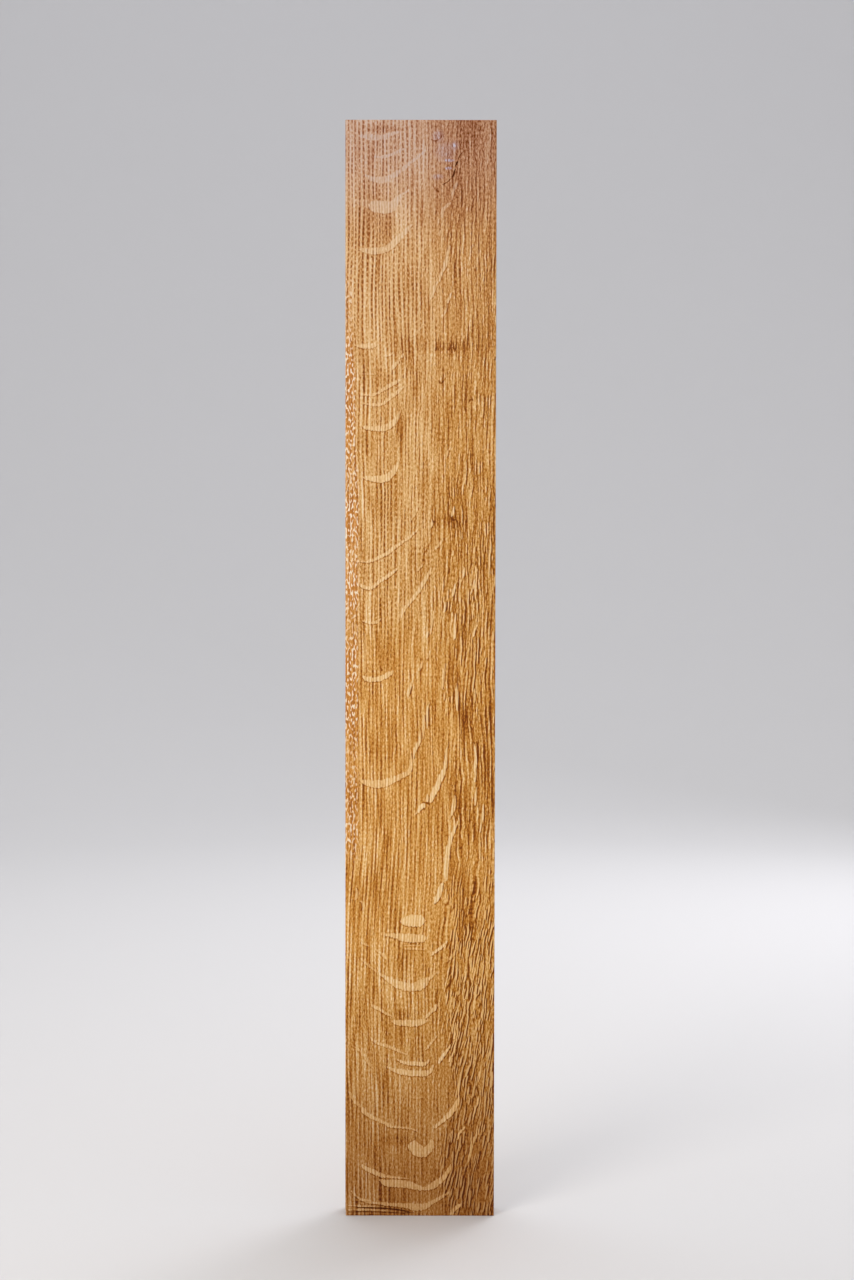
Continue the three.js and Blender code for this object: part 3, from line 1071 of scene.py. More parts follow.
                a, b = cells[r0 - 1, c], cells[r1, c]
                wide[r0 - 1, c] = [int(a[0]), int(a[1])] + foot[::-1]
                wide[r1, c] = top + [int(b[2]), int(b[3])]
            for r in range(r0, r1):
                s = (r - r0) * n
                left, right = number[s : s + n + 1, 0].tolist(), number[s : s + n + 1, -1].tolist()
                a, b = cells[r, c0 - 1], cells[r, c1]
                wide[r, c0 - 1] = [int(a[0])] + left + [int(a[3])]
                wide[r, c1] = [int(b[1]), int(b[2])] + right[::-1]
        for row, column in wide:
            keep[row, column] = False
        faces = cells[keep].tolist() + fine_faces + list(wide.values())
        return np.vstack(loose), faces

    def build(self, name: str) -> bpy.types.Object:
        """Makes the board's object with its attributes.

        Args:
            name: The piece's name.

        Returns:
            The new object, linked to the scene, in metres at the origin.
        """
        tube, cells = self.tube()
        points, faces = self.refine(tube, cells)
        columns = tube.shape[1]
        faces.append(list(range(columns))[::-1])
        faces.append([(tube.shape[0] - 1) * columns + c for c in range(columns)])
        front = points[:, 1] < -self.thickness / 2 + self.touch
        shaped = self.cut_checks(points, front)
        shaped = self.knock_nicks(shaped)
        mesh = bpy.data.meshes.new(name)
        mesh.from_pydata((shaped * METRES).tolist(), [], faces)
        self.put_attributes(mesh, points, front)
        self.unwrap(mesh, points)
        mesh.shade_smooth()
        mesh.set_sharp_from_angle(angle=math.radians(self.crease))
        mesh.validate()
        board = bpy.data.objects.new(name, mesh)
        bpy.context.scene.collection.objects.link(board)
        return board

    def unwrap(self, mesh: bpy.types.Mesh, points: np.ndarray) -> None:
        """Lays front, back, edges and ends side by side, without overlap, on a map for baking.

        Every face is projected straight onto the side it belongs to, taken before the checks
        were cut, so that no two faces meet on the map.

        Args:
            mesh: The new mesh.
            points: Rows of xyz before the checks were cut.
        """
        corner = np.empty(len(mesh.loops), np.int32)
        start = np.empty(len(mesh.polygons), np.int32)
        total = np.empty(len(mesh.polygons), np.int32)
        mesh.loops.foreach_get("vertex_index", corner)
        mesh.polygons.foreach_get("loop_start", start)
        mesh.polygons.foreach_get("loop_total", total)
        share = points / (self.width, self.thickness, self.length) + (0.5, 0.5, 0.0)
        middle = np.add.reduceat(points[corner], start, axis=0) / total[:, None]
        past_x = np.abs(middle[:, 0]) - self.width / 2 + self.arris
        past_y = np.abs(middle[:, 1]) - self.thickness / 2 + self.arris
        faces = np.where(middle[:, 1] < 0, 0, 1)
        edges = np.where(middle[:, 0] < 0, 2, 3)
        side = np.where(past_y >= past_x, faces, edges)
        side = np.where(middle[:, 2] < self.touch, 4, side)
        side = np.where(middle[:, 2] > self.length - self.touch, 5, side)
        side = np.repeat(side, total)
        uv = np.empty((len(corner), 2))
        for number, (across, up, left, foot, wide, high) in enumerate(BAKE_CHARTS):
            pick = side == number
            uv[pick, 0] = left + wide * share[corner[pick], across]
            uv[pick, 1] = foot + high * share[corner[pick], up]
        layer = mesh.uv_layers.new(name="OFBake")
        layer.uv.foreach_set("vector", uv.astype(np.float32).ravel())

    def cut_checks(self, points: np.ndarray, front: np.ndarray) -> np.ndarray:
        """Sinks the front face along each check, in a V that is deepest on the middle line.

        Args:
            points: Rows of xyz.
            front: Which points lie on the front face.

        Returns:
            The points with depth times (1 - distance / half width) added to y.
        """
        made = points.copy()
        read = VIEWPOINT.ruler(points[:, 2], self.length)
        for check in CHECKS:
            near = check.reach(points[:, 0], read, self.check_margin)
            near = near[front[near]]
            across, half = check.measure(points[near, 0], read[near])
            slope = np.clip(1 - np.abs(across) / np.maximum(half, self.narrowest), 0, 1)
            made[near, 1] += np.where(half > 0, check.strength * slope, 0.0)
        return made

    def knock_nicks(self, points: np.ndarray) -> np.ndarray:
        """Presses the arris in at each nick, by depth times (1 - (distance / radius)²)².

        Args:
            points: Rows of xyz.

        Returns:
            The points, moved towards the board's middle and its back.
        """
        made = points.copy()
        read = VIEWPOINT.ruler(points[:, 2], self.length)
        for nick in NICKS:
            gap = np.hypot(points[:, 0] - nick.x, read - nick.z)
            gap = np.hypot(gap, points[:, 1] + self.thickness / 2)
            press = nick.depth * np.clip(1 - (gap / nick.radius) ** 2, 0, 1) ** 2
            made[:, 0] -= math.copysign(1, nick.x) * press
            made[:, 1] += self.nick_back * press
        return made

    def put_attributes(self, mesh: bpy.types.Mesh, points: np.ndarray, front: np.ndarray) -> None:
        """Writes the figure onto the mesh as vector attributes, one row for each vertex.

        Args:
            mesh: The new mesh.
            points: Rows of xyz before the checks were cut.
            front: Which points lie on the front face.
        """
        x, z = points[:, 0], VIEWPOINT.ruler(points[:, 2], self.length)
        facing = np.where(points[:, 1] < -self.thickness / 2 + self.arris, 1.0, 0.0)
        back = points[:, 1] > self.thickness / 2 - self.touch
        flecks = FOOT_FLECKS + LOWER_FLECKS + MIDDLE_FLECKS + UPPER_FLECKS
        rays = RAY_LAYERS.lay((), x, z)
        rays[:, front] = RAY_LAYERS.lay(flecks, x[front], z[front])
        rays[:, back] = RAY_LAYERS.lay(BackFlecks().grow(), x[back], z[back])
        marks = MARK_LAYER.lay((), x, z)
        marks[:, front] = MARK_LAYER.lay(DARK_MARKS + CHECKS, x[front], z[front])
        values = OakFigure(x, z, facing).attributes()
        values |= zip(RAY_LAYERS.names, rays)
        values |= zip(MARK_LAYER.names, marks)
        for name, rows in values.items():
            attribute = mesh.attributes.new(name, "FLOAT_VECTOR", "POINT")
            attribute.data.foreach_set("vector", rows.astype(np.float32).ravel())


@dataclass(frozen=True)
class Wood:
    """The sockets that the oak's patterns share, each made once.

    place is Object coordinates in millimetres, and x, y and z are its parts. across is measured
    across the growth rings, straight is the place with across in the stead of x, and wavy is
    straight swayed where the grain is rippled. fibres and vessels are fine grain along wavy.
    The rest are what grew in the wood and the painted light and shade, as OakFigure names them.
    """

    place: Socket
    x: Socket
    y: Socket
    z: Socket
    across: Socket
    straight: Socket
    wavy: Socket
    fibres: Socket
    vessels: Socket
    bead: Socket
    shade: Socket
    chatter: Socket
    gloss: Socket
    scales: Socket
    foot: Socket
    lines: Socket
    milk: Socket
    gold: Socket


@dataclass(frozen=True)
class PlanedOak:
    """Bare quarter-sawn white oak, planed and lightly sanded, with no finish on it.

    To the eye: warm tan, straight dark pore lines where each year's growth begins, pale smooth
    ray flecks that catch the light, and a dull surface with a faint sheen. Painted light is part
    of its colour: shade towards the foot, the top and the right, a bluish sheen with glints near
    the top, and highlights and shadows on the rippled grain.
    """

    half_width: float
    half_length: float

    # Typical values for bare wood, matched to this board: its index of refraction, how much
    # reflection is left, how rough it is where it is dark and dull, and how deep the grain
    # is in millimetres.
    ior: float = 1.46
    sheen: float = 0.15
    roughness: float = 0.70
    relief: float = 0.22

    # Real sizes in millimetres. A triple is how wide a blot of the pattern is across the rings,
    # through the thickness and up the grain. Real vessels are 0.3 wide, fibres far less, and
    # the ends of rays on the narrow edges 0.4: vessel, end_pore, fibre and spindle are drawn
    # wider than that, so that they still show in a picture of the whole board.
    ring_spacing: float = 3.3
    ring_wander: Size = (16.0, 30.0, 300.0)
    ring_bead: float = 4.6
    bead_stray: Size = (4.0, 4.0, 11.0)
    year_stretch: float = 60.0
    fibre: Size = (1.15, 1.15, 34.0)
    vessel: Size = (1.0, 1.0, 2.5)
    broad_band: Size = (11.0, 11.0, 150.0)
    slight_wave: Size = (7.0, 7.0, 34.0)
    short_wave: Size = (11.0, 11.0, 21.0)
    long_wave: Size = (17.0, 17.0, 62.0)
    ribbon: Size = (1.35, 7.0, 9.5)
    ribbon_crowd: Size = (15.0, 15.0, 34.0)
    fleck_rib: float = 2.3
    rib_stray: Size = (5.0, 5.0, 40.0)
    comb: Size = (1.2, 1.2, 14.0)
    dash: Size = (1.3, 2.0, 3.4)
    dash_column: float = 2.5
    edge_year: float = 2.6
    edge_wander: Size = (30.0, 60.0, 190.0)
    spindle: Size = (4.0, 0.75, 7.0)
    end_pore: Size = (0.55, 0.55, 6.0)
    end_ray: Size = (45.0, 0.9, 6.0)
    saw_mark: Size = (1.4, 30.0, 6.0)

    # How far the rings run sideways for each millimetre through the thickness.
    ring_slant: float = 0.16

    # How far inside the sides, in millimetres, the figure starts and ends its turn into that
    # of the narrow edges and of the sawn ends.
    edge_turn: tuple[float, float] = (0.4, 0.1)
    end_turn: tuple[float, float] = (0.25, 0.05)

    # From the darkest pore by tan wood to the palest ray, evenly up the lightness.
    tones: tuple[tuple[float, str], ...] = (
        (0.0, "743900"),
        (0.15, "894900"),
        (0.3, "ac6a18"),
        (0.45, "c68937"),
        (0.6, "d8a257"),
        (0.75, "e8bb79"),
        (0.9, "f6d198"),
        (1.0, "fee8c2"),
    )
    ray_cream: str = "f6dcae"  # the cream of the flecks and of the milky upper wood
    golden: str = "fffaed"  # a yellower middle
    orange_heart: str = "da9344"  # orange wood between the dashes of the left-hand strip
    dash_white: str = "fbecd2"  # the dashes, nearly white
    painted_crest_highlight: str = "f7c67c"  # painted highlight: golden crests where the rippled grain turns to the light
    painted_foot_shade: str = "c6b5a7"  # painted shade: the foot darker and browner
    painted_sheen_blue: str = "b3acbf"  # painted sheen: the bluish reflection on the smooth top
    painted_glint_colour: str = "dfe2f6"  # painted glints on the brightest spots of the top
    end_brown: str = "96806a"  # end grain, always darker than the faces

    def material(self) -> bpy.types.Material:
        """Draws the whole board, face, edges and ends, in one material.

        The roughness falls where the wood is pale and where it is glossy, and the bump follows
        the grain but not the flecks.

        Returns:
            The finished material.
        """
        made = bpy.data.materials.new("planed_quartersawn_oak")
        made.use_nodes = True
        tree = made.node_tree
        tree.nodes.clear()
        wood = self.wood(tree)
        ray, lower_edge = self.rays(tree, wood)
        light, height = self.long_grain(tree, wood, ray)
        light = self.flecked(tree, wood, light, ray, lower_edge)
        dash = self.dashes(tree, wood)
        light = weighted_sum(tree, light, (dash, 0.40), (self.mark(tree), -0.42))
        light, ends = self.sawn_sides(tree, wood, light)
        gloss = add(tree, Kind.MIX, {0: ends, 2: wood.gloss, 3: 0.0}, data_type="FLOAT")
        colour = self.tinted(tree, wood, light, gloss, ray, dash, ends)
        dull = weighted_sum(tree, self.roughness, (gloss, -0.08))
        paler = {0: light, 1: -0.25, 2: dull}
        rough = add(tree, Kind.MATH, paler, operation="MULTIPLY_ADD", use_clamp=True)
        bump = {"Strength": 0.5, "Distance": self.relief * METRES, "Height": height}
        surface = {
            "Base Color": colour,
            "Roughness": rough,
            "Normal": add(tree, Kind.BUMP, bump),
            "IOR": self.ior,
            "Specular IOR Level": self.sheen,
        }
        add(tree, Kind.OUTPUT, {0: add(tree, Kind.SHADER, surface)})
        return made

    def noise(self, tree: Tree, point: Socket, size: Size, detail: float) -> Socket:
        """Gives noise about 0, mostly within 0.3, whose blots have the given size.

        Args:
            tree: The material's node tree.
            point: Where to read the noise, in millimetres.
            size: The blots' size in millimetres.
            detail: How many finer layers it has.

        Returns:
            The noise.
        """
        scale = tuple(1.0 / s for s in size)
        point = add(tree, Kind.VECTOR, {0: point, 1: scale}, operation="MULTIPLY")
        value = add(tree, Kind.NOISE, {"Vector": point, "Scale": 1.0, "Detail": detail, "Roughness": 0.55})
        return add(tree, Kind.MATH, {0: value, 1: 0.5}, operation="SUBTRACT")

    def wood(self, tree: Tree) -> Wood:
        """Reads places and attributes, and works out what most of the patterns need.

        Across the rings a place is x + ring_slant × y + drift. Fibres are fainter where the
        pores are beaded.

        Args:
            tree: The material's node tree.

        Returns:
            The shared sockets.
        """
        place = add(tree, Kind.COORDINATE, output="Object")
        place = add(tree, Kind.VECTOR, {0: place, 1: (1 / METRES,) * 3}, operation="MULTIPLY")
        x, y, z = add(tree, Kind.SEPARATE, {0: place}).node.outputs
        drift, ripple, bead = grown(tree, "grain")
        shade, chatter, gloss = grown(tree, "tone")
        scales, foot, lines = grown(tree, "zone")
        milk, gold, _ = grown(tree, "hue")
        across = weighted_sum(tree, x, (y, self.ring_slant), (drift, 1.0))
        straight = add(tree, Kind.COMBINE, {0: across, 1: y, 2: z})
        wavy = self.waved(tree, straight, ripple)
        fibres = self.noise(tree, wavy, self.fibre, 1.0)
        thready = weighted_sum(tree, 1.35, (bead, -0.40))
        fibres = add(tree, Kind.MATH, {0: fibres, 1: thready}, operation="MULTIPLY")
        vessels = self.noise(tree, wavy, self.vessel, 1.0)
        return Wood(
            place, x, y, z, across, straight, wavy, fibres, vessels,
            bead, shade, chatter, gloss, scales, foot, lines, milk, gold,
        )

    def waved(self, tree: Tree, straight: Socket, ripple: Socket) -> Socket:
        """Moves the grain sideways: a little everywhere, and in waves where it is rippled.

        Args:
            tree: The material's node tree.
            straight: The place along straight grain.
            ripple: How rippled the grain is.

        Returns:
            straight with 1.8 × slight + ripple × (5.5 × short + 9 × long) added across.
        """
        slight = self.noise(tree, straight, self.slight_wave, 1.0)
        slight = add(tree, Kind.MATH, {0: slight, 1: 1.8}, operation="MULTIPLY")
        short = self.noise(tree, straight, self.short_wave, 1.0)
        short = add(tree, Kind.MATH, {0: short, 1: 5.5}, operation="MULTIPLY")
        long = self.noise(tree, straight, self.long_wave, 0.0)
        wave = weighted_sum(tree, short, (long, 9.0))
        sway = weighted_sum(tree, slight, (wave, ripple))
        sway = add(tree, Kind.COMBINE, {0: sway})
        return add(tree, Kind.VECTOR, {0: straight, 1: sway}, operation="ADD")

    def rings(self, tree: Tree, wood: Wood) -> Socket:
        """Draws the years: a dark pore line and a pale band each, broken up into beads.

        A year is one ring_spacing across the wavy grain, wandering a little. Its line is pale
        at both its sides and dark midway, and each year has a strength of its own that varies
        slowly up the board. Beads beat along the line, each year with its own shift.

        Args:
            tree: The material's node tree.
            wood: The shared sockets.

        Returns:
            -0.4 in a pale band and up to about 1.2 on a dark line.
        """
        across, _, z = add(tree, Kind.SEPARATE, {0: wood.wavy}).node.outputs
        wander = self.noise(tree, wood.wavy, self.ring_wander, 0.0)
        years = add(tree, Kind.MATH, {0: across, 1: 1 / self.ring_spacing}, operation="MULTIPLY")
        years = weighted_sum(tree, years, (wander, 1.8))
        season = add(tree, Kind.MATH, {0: years, 1: 0.5}, operation="PINGPONG")
        line = add(tree, Kind.RANGE, {0: season, 1: 0.10, 2: 0.42, 3: -0.40, 4: 1.0}, **SOFT)

        year = add(tree, Kind.MATH, {0: years}, operation="FLOOR")
        seed = add(tree, Kind.MATH, {0: year, 1: 7.31}, operation="MULTIPLY")
        stretch = add(tree, Kind.MATH, {0: z, 1: 1 / self.year_stretch}, operation="MULTIPLY")
        own = add(tree, Kind.COMBINE, {0: seed, 1: 0.0, 2: stretch})
        own = add(tree, Kind.NOISE, {"Vector": own, "Scale": 1.0, "Detail": 1.0, "Roughness": 0.5})
        own = add(tree, Kind.RANGE, {0: own, 1: 0.30, 2: 0.68, 3: 0.55, 4: 1.0})
        even = add(tree, Kind.MATH, {0: wood.bead, 1: 0.8}, operation="MULTIPLY")
        own = add(tree, Kind.MIX, {0: even, 2: own, 3: 1.05}, data_type="FLOAT")

        stray = self.noise(tree, wood.wavy, self.bead_stray, 1.0)
        beat = weighted_sum(tree, seed, (z, 1 / self.ring_bead), (stray, 2.2))
        beat = add(tree, Kind.MATH, {0: beat, 1: 0.5}, operation="PINGPONG")
        beat = add(tree, Kind.RANGE, {0: beat, 1: 0.08, 2: 0.26, 3: 0.0, 4: 1.2}, **SOFT)
        broken = weighted_sum(tree, 0.15, (wood.bead, 0.70))
        whole = add(tree, Kind.MIX, {0: broken, 2: 1.0, 3: beat}, data_type="FLOAT")
        line = add(tree, Kind.MATH, {0: line, 1: own}, operation="MULTIPLY")
        return add(tree, Kind.MATH, {0: line, 1: whole}, operation="MULTIPLY")

    def ribbons(self, tree: Tree, wood: Wood) -> Socket:
        """Draws short pale ribbons that lean to the right, with a painted shadow on that side.

        They lie halfway between the wavy grain and lines that lean by 0.30 × z at the foot and
        by 0.08 × z further up. The painted shadow is the same noise, read 0.9 mm to the left, so it
        falls on each ribbon's right-hand side.

        Args:
            tree: The material's node tree.
            wood: The shared sockets.

        Returns:
            Above 0 on a ribbon and below 0 on its painted shadow.
        """
        low = add(tree, Kind.MATH, {0: wood.z, 1: 0.30}, operation="MULTIPLY")
        high = weighted_sum(tree, 56.0, (wood.z, 0.08))
        shift = add(tree, Kind.MATH, {0: low, 1: high, 2: 12.0}, operation="SMOOTH_MIN")
        lean = add(tree, Kind.MATH, {0: wood.x, 1: shift}, operation="SUBTRACT")
        lean = add(tree, Kind.COMBINE, {0: lean, 1: 0.0, 2: wood.z})
        blend = add(tree, Kind.VECTOR, {0: wood.wavy, 1: (0.45, 0.45, 0.45)}, operation="MULTIPLY")
        lean = add(tree, Kind.VECTOR, {0: lean, 1: (0.55, 0.55, 0.55)}, operation="MULTIPLY")
        point = add(tree, Kind.VECTOR, {0: lean, 1: blend}, operation="ADD")
        beside = add(tree, Kind.VECTOR, {0: point, 1: (-0.9, 0.0, 0.0)}, operation="ADD")
        pale = self.noise(tree, point, self.ribbon, 0.0)
        pale = add(tree, Kind.RANGE, {0: pale, 1: 0.03, 2: 0.26}, **SOFT)
        pale = add(tree, Kind.MATH, {0: pale, 1: 1.6}, operation="MULTIPLY")
        # painted shadow: the same noise read 0.9 mm to the left darkens each ribbon's right-hand side
        dark = self.noise(tree, beside, self.ribbon, 0.0)
        dark = add(tree, Kind.RANGE, {0: dark, 1: -0.03, 2: 0.20}, **SOFT)
        ribbon_with_painted_shadow = weighted_sum(tree, pale, (dark, -1.1))
        crowd = self.noise(tree, wood.wavy, self.ribbon_crowd, 1.0)
        crowd = add(tree, Kind.RANGE, {0: crowd, 1: -0.15, 2: 0.15, 3: 0.34, 4: 0.80}, **SOFT)
        return add(tree, Kind.MATH, {0: ribbon_with_painted_shadow, 1: crowd}, operation="MULTIPLY")

    def rays(self, tree: Tree, wood: Wood) -> tuple[Socket, Socket]:
        """Shows the ray flecks of all layers, combed by the grain, and their dark lower edges.

        How far inside a fleck a place is, is its half width less its distance, with the comb
        added. The fleck fades in from -0.35 to 0.45 mm, and its rim shows just outside that.

        Args:
            tree: The material's node tree.
            wood: The shared sockets.

        Returns:
            How strongly a fleck shows, and how strongly its lower edge does.
        """
        comb = self.noise(tree, wood.straight, self.comb, 1.0)
        shown: Socket | float = 0.0
        edged: Socket | float = 0.0
        for name in RAY_LAYERS.names:
            side, half, pale = grown(tree, name)
            distance = add(tree, Kind.MATH, {0: side}, operation="ABSOLUTE")
            inside = add(tree, Kind.MATH, {0: half, 1: distance}, operation="SUBTRACT")
            inside = weighted_sum(tree, inside, (comb, 2.5))
            body = add(tree, Kind.RANGE, {0: inside, 1: -0.35, 2: 0.45}, **SOFT)
            rim = add(tree, Kind.RANGE, {0: inside, 1: -1.1, 2: -0.4}, **SOFT)
            lower = add(tree, Kind.RANGE, {0: side, 1: 0.0, 2: 0.6}, **SOFT)
            rim = add(tree, Kind.MATH, {0: rim, 1: body}, operation="SUBTRACT", use_clamp=True)
            rim = add(tree, Kind.MATH, {0: rim, 1: lower}, operation="MULTIPLY")
            body = add(tree, Kind.MATH, {0: body, 1: pale}, operation="MULTIPLY")
            rim = add(tree, Kind.MATH, {0: rim, 1: pale}, operation="MULTIPLY")
            shown = add(tree, Kind.MATH, {0: body, 1: shown}, operation="MAXIMUM")
            edged = add(tree, Kind.MATH, {0: rim, 1: edged}, operation="MAXIMUM")
        return shown, edged

    def long_grain(self, tree: Tree, wood: Wood, ray: Socket) -> tuple[Socket, Socket]:
        """Adds up rings, fibres, vessels and broad bands, then ribbons and shade.

        The palest places are held down by a smooth minimum where the grain is scaly. The
        height is the lightness before ribbons and shade, and flattens under the flecks.

        Args:
            tree: The material's node tree.
            wood: The shared sockets.
            ray: How strongly a fleck shows.

        Returns:
            The lightness, and the height for the bump.
        """
        deep = weighted_sum(tree, -0.25, (wood.bead, -0.04))
        long = weighted_sum(tree, wood.fibres, (self.rings(tree, wood), deep))
        grainy = weighted_sum(tree, 1.15, (wood.bead, -0.36))
        broad = self.noise(tree, wood.straight, self.broad_band, 1.0)
        light = weighted_sum(tree, 0.615, (long, wood.lines), (wood.vessels, grainy), (broad, 0.24))
        height = add(tree, Kind.MATH, {0: light, 1: 0.6}, operation="SUBTRACT")
        even = add(tree, Kind.MATH, {0: ray, 1: -0.65, 2: 1.0}, operation="MULTIPLY_ADD", use_clamp=True)
        height = add(tree, Kind.MATH, {0: height, 1: even}, operation="MULTIPLY")
        light = weighted_sum(tree, light, (self.ribbons(tree, wood), wood.scales), (wood.shade, 1.0))
        palest = weighted_sum(tree, 1.05, (wood.scales, -0.22))
        light = add(tree, Kind.MATH, {0: light, 1: palest, 2: 0.15}, operation="SMOOTH_MIN")
        return light, height

    def flecked(self, tree: Tree, wood: Wood, light: Socket, ray: Socket, lower_edge: Socket) -> Socket:
        """Lays the flecks over the grain: calmer than it, faintly ribbed, and dark below.

        Args:
            tree: The material's node tree.
            wood: The shared sockets.
            light: The lightness of the grain.
            ray: How strongly a fleck shows.
            lower_edge: How strongly its lower edge shows.

        Returns:
            The lightness with the flecks.
        """
        stray = self.noise(tree, wood.straight, self.rib_stray, 0.0)
        ribs = weighted_sum(tree, wood.across, (stray, 2.4))
        ribs = add(tree, Kind.MATH, {0: ribs, 1: self.fleck_rib / 2}, operation="PINGPONG")
        glow = add(tree, Kind.MATH, {0: ray, 1: 1.0}, operation="SUBTRACT")
        glow = add(tree, Kind.MATH, {0: glow, 1: 0.0}, operation="MAXIMUM")
        calm = weighted_sum(
            tree, 0.18, (light, 0.55), (ribs, 0.42), (wood.gloss, -0.07), (wood.scales, 0.16), (glow, 0.45)
        )
        light = add(tree, Kind.MIX, {0: ray, 2: light, 3: calm}, data_type="FLOAT")
        crisp = weighted_sum(tree, -0.28, (wood.gloss, 0.36))
        crisp = add(tree, Kind.MATH, {0: crisp, 1: 0.0}, operation="MINIMUM")
        return weighted_sum(tree, light, (lower_edge, crisp))

    def dashes(self, tree: Tree, wood: Wood) -> Socket:
        """Draws the short pale dashes of the left-hand strip, leaning to and fro by columns.

        Args:
            tree: The material's node tree.
            wood: The shared sockets.

        Returns:
            Above 0 on a dash and below 0 between them, and 0 off the strip.
        """
        lean = add(tree, Kind.MATH, {0: wood.x, 1: self.dash_column}, operation="PINGPONG")
        rise = weighted_sum(tree, wood.z, (lean, 0.8))
        point = add(tree, Kind.COMBINE, {0: wood.x, 1: 0.0, 2: rise})
        value = self.noise(tree, point, self.dash, 0.0)
        dashes = add(tree, Kind.RANGE, {0: value, 1: 0.0, 2: 0.16, 3: -0.42, 4: 1.0}, **SOFT)
        return add(tree, Kind.MATH, {0: dashes, 1: wood.chatter}, operation="MULTIPLY")

    def mark(self, tree: Tree) -> Socket:
        """Shows the dark marks and the insides of the checks.

        Args:
            tree: The material's node tree.

        Returns:
            0 beside a mark, and the mark's strength on it.
        """
        side, half, dark = grown(tree, MARK_LAYER.names[0])
        distance = add(tree, Kind.MATH, {0: side}, operation="ABSOLUTE")
        inside = add(tree, Kind.MATH, {0: half, 1: distance}, operation="SUBTRACT")
        inside = add(tree, Kind.RANGE, {0: inside, 1: -0.35, 2: 0.25}, **SOFT)
        return add(tree, Kind.MATH, {0: inside, 1: dark}, operation="MULTIPLY")

    def edge_grain(self, tree: Tree, wood: Wood) -> Socket:
        """Draws the narrow edges: wide wandering years, long fibres and dark ends of rays.

        Args:
            tree: The material's node tree.
            wood: The shared sockets.

        Returns:
            The edges' lightness.
        """
        stray = self.noise(tree, wood.place, self.edge_wander, 0.0)
        year = weighted_sum(tree, wood.y, (stray, 22.0))
        year = add(tree, Kind.MATH, {0: year, 1: self.edge_year}, operation="PINGPONG")
        line = add(tree, Kind.RANGE, {0: year, 1: 0.5, 2: 2.2}, **SOFT)
        spindle = self.noise(tree, wood.place, self.spindle, 0.0)
        spindle = add(tree, Kind.RANGE, {0: spindle, 1: 0.12, 2: 0.20})
        return weighted_sum(
            tree, 0.62, (line, -0.14), (wood.fibres, 0.9), (wood.vessels, 0.6), (spindle, -0.20)
        )

    def end_grain(self, tree: Tree, wood: Wood) -> Socket:
        """Draws the sawn ends: ring lines through the thickness, pore dots and pale rays across.

        Args:
            tree: The material's node tree.
            wood: The shared sockets.

        Returns:
            The ends' lightness.
        """
        year = add(tree, Kind.MATH, {0: wood.across, 1: self.ring_spacing / 2}, operation="PINGPONG")
        line = add(tree, Kind.RANGE, {0: year, 1: 0.25, 2: 1.1}, **SOFT)
        pores = self.noise(tree, wood.place, self.end_pore, 0.0)
        pores = add(tree, Kind.RANGE, {0: pores, 1: -0.02, 2: 0.12})
        pores = add(tree, Kind.MATH, {0: pores, 1: line}, operation="MULTIPLY")
        rays = self.noise(tree, wood.place, self.end_ray, 1.0)
        rays = add(tree, Kind.RANGE, {0: rays, 1: 0.07, 2: 0.15})
        saw = self.noise(tree, wood.place, self.saw_mark, 0.0)
        return weighted_sum(tree, 0.56, (line, -0.34), (pores, -0.42), (rays, 0.22), (saw, 0.25))

    def sawn_sides(self, tree: Tree, wood: Wood, light: Socket) -> tuple[Socket, Socket]:
        """Turns the faces' figure into edge grain and end grain where the board ends.

        Args:
            tree: The material's node tree.
            wood: The shared sockets.
            light: The lightness of the faces.

        Returns:
            The lightness all round, and where the sawn ends are.
        """
        start, stop = (self.half_width - inset for inset in self.edge_turn)
        edges = add(tree, Kind.MATH, {0: wood.x}, operation="ABSOLUTE")
        edges = add(tree, Kind.RANGE, {0: edges, 1: start, 2: stop})
        light = add(tree, Kind.MIX, {0: edges, 2: light, 3: self.edge_grain(tree, wood)}, data_type="FLOAT")
        start, stop = (self.half_length - inset for inset in self.end_turn)
        ends = add(tree, Kind.MATH, {0: wood.z, 1: self.half_length}, operation="SUBTRACT")
        ends = add(tree, Kind.MATH, {0: ends}, operation="ABSOLUTE")
        ends = add(tree, Kind.RANGE, {0: ends, 1: start, 2: stop})
        light = add(tree, Kind.MIX, {0: ends, 2: light, 3: self.end_grain(tree, wood)}, data_type="FLOAT")
        return light, ends

    def tinted(
        self, tree: Tree, wood: Wood, light: Socket, gloss: Socket, ray: Socket, dash: Socket, ends: Socket
    ) -> Socket:
        """Turns the lightness into tones of oak, then lays each tint over them in turn.

        A tint's weight is the product of where it grows and how much it shows there. The foot's
        tint is painted shade, and the cool sheen, its glints and the gold of the rippled crests are
        painted highlights.

        Args:
            tree: The material's node tree.
            wood: The shared sockets.
            light: The lightness.
            gloss: How glossy the wood is, 0 on the sawn ends; it also weights the painted sheen and glints.
            ray: How strongly a fleck shows.
            dash: How strongly a dash shows.
            ends: Where the sawn ends are.

        Returns:
            The colour of the surface.
        """
        colour = add(tree, Kind.RAMP, {0: light})
        stops = colour.node.color_ramp.elements
        for stop, (at, tone) in zip(stops, (self.tones[0], self.tones[-1])):
            stop.position = at
            stop.color = linear(tone)
        for at, tone in self.tones[1:-1]:
            stops.new(at).color = linear(tone)

        pale = weighted_sum(tree, -0.23, (light, 0.6))
        creamy = weighted_sum(tree, 0.22, (wood.scales, -0.18))
        # painted highlight: the palest crests of the rippled grain turn gold
        painted_crest_mask = add(tree, Kind.RANGE, {0: light, 1: 0.70, 2: 1.0, 4: 0.75})
        bare = weighted_sum(tree, 1.0, (ray, -0.35))
        # painted sheen, strongest where the wood is pale
        painted_sheen = weighted_sum(tree, -0.12, (light, 1.3), (ray, 0.22))
        painted_sheen = add(tree, Kind.MATH, {0: painted_sheen, 1: 0.42}, operation="MULTIPLY")
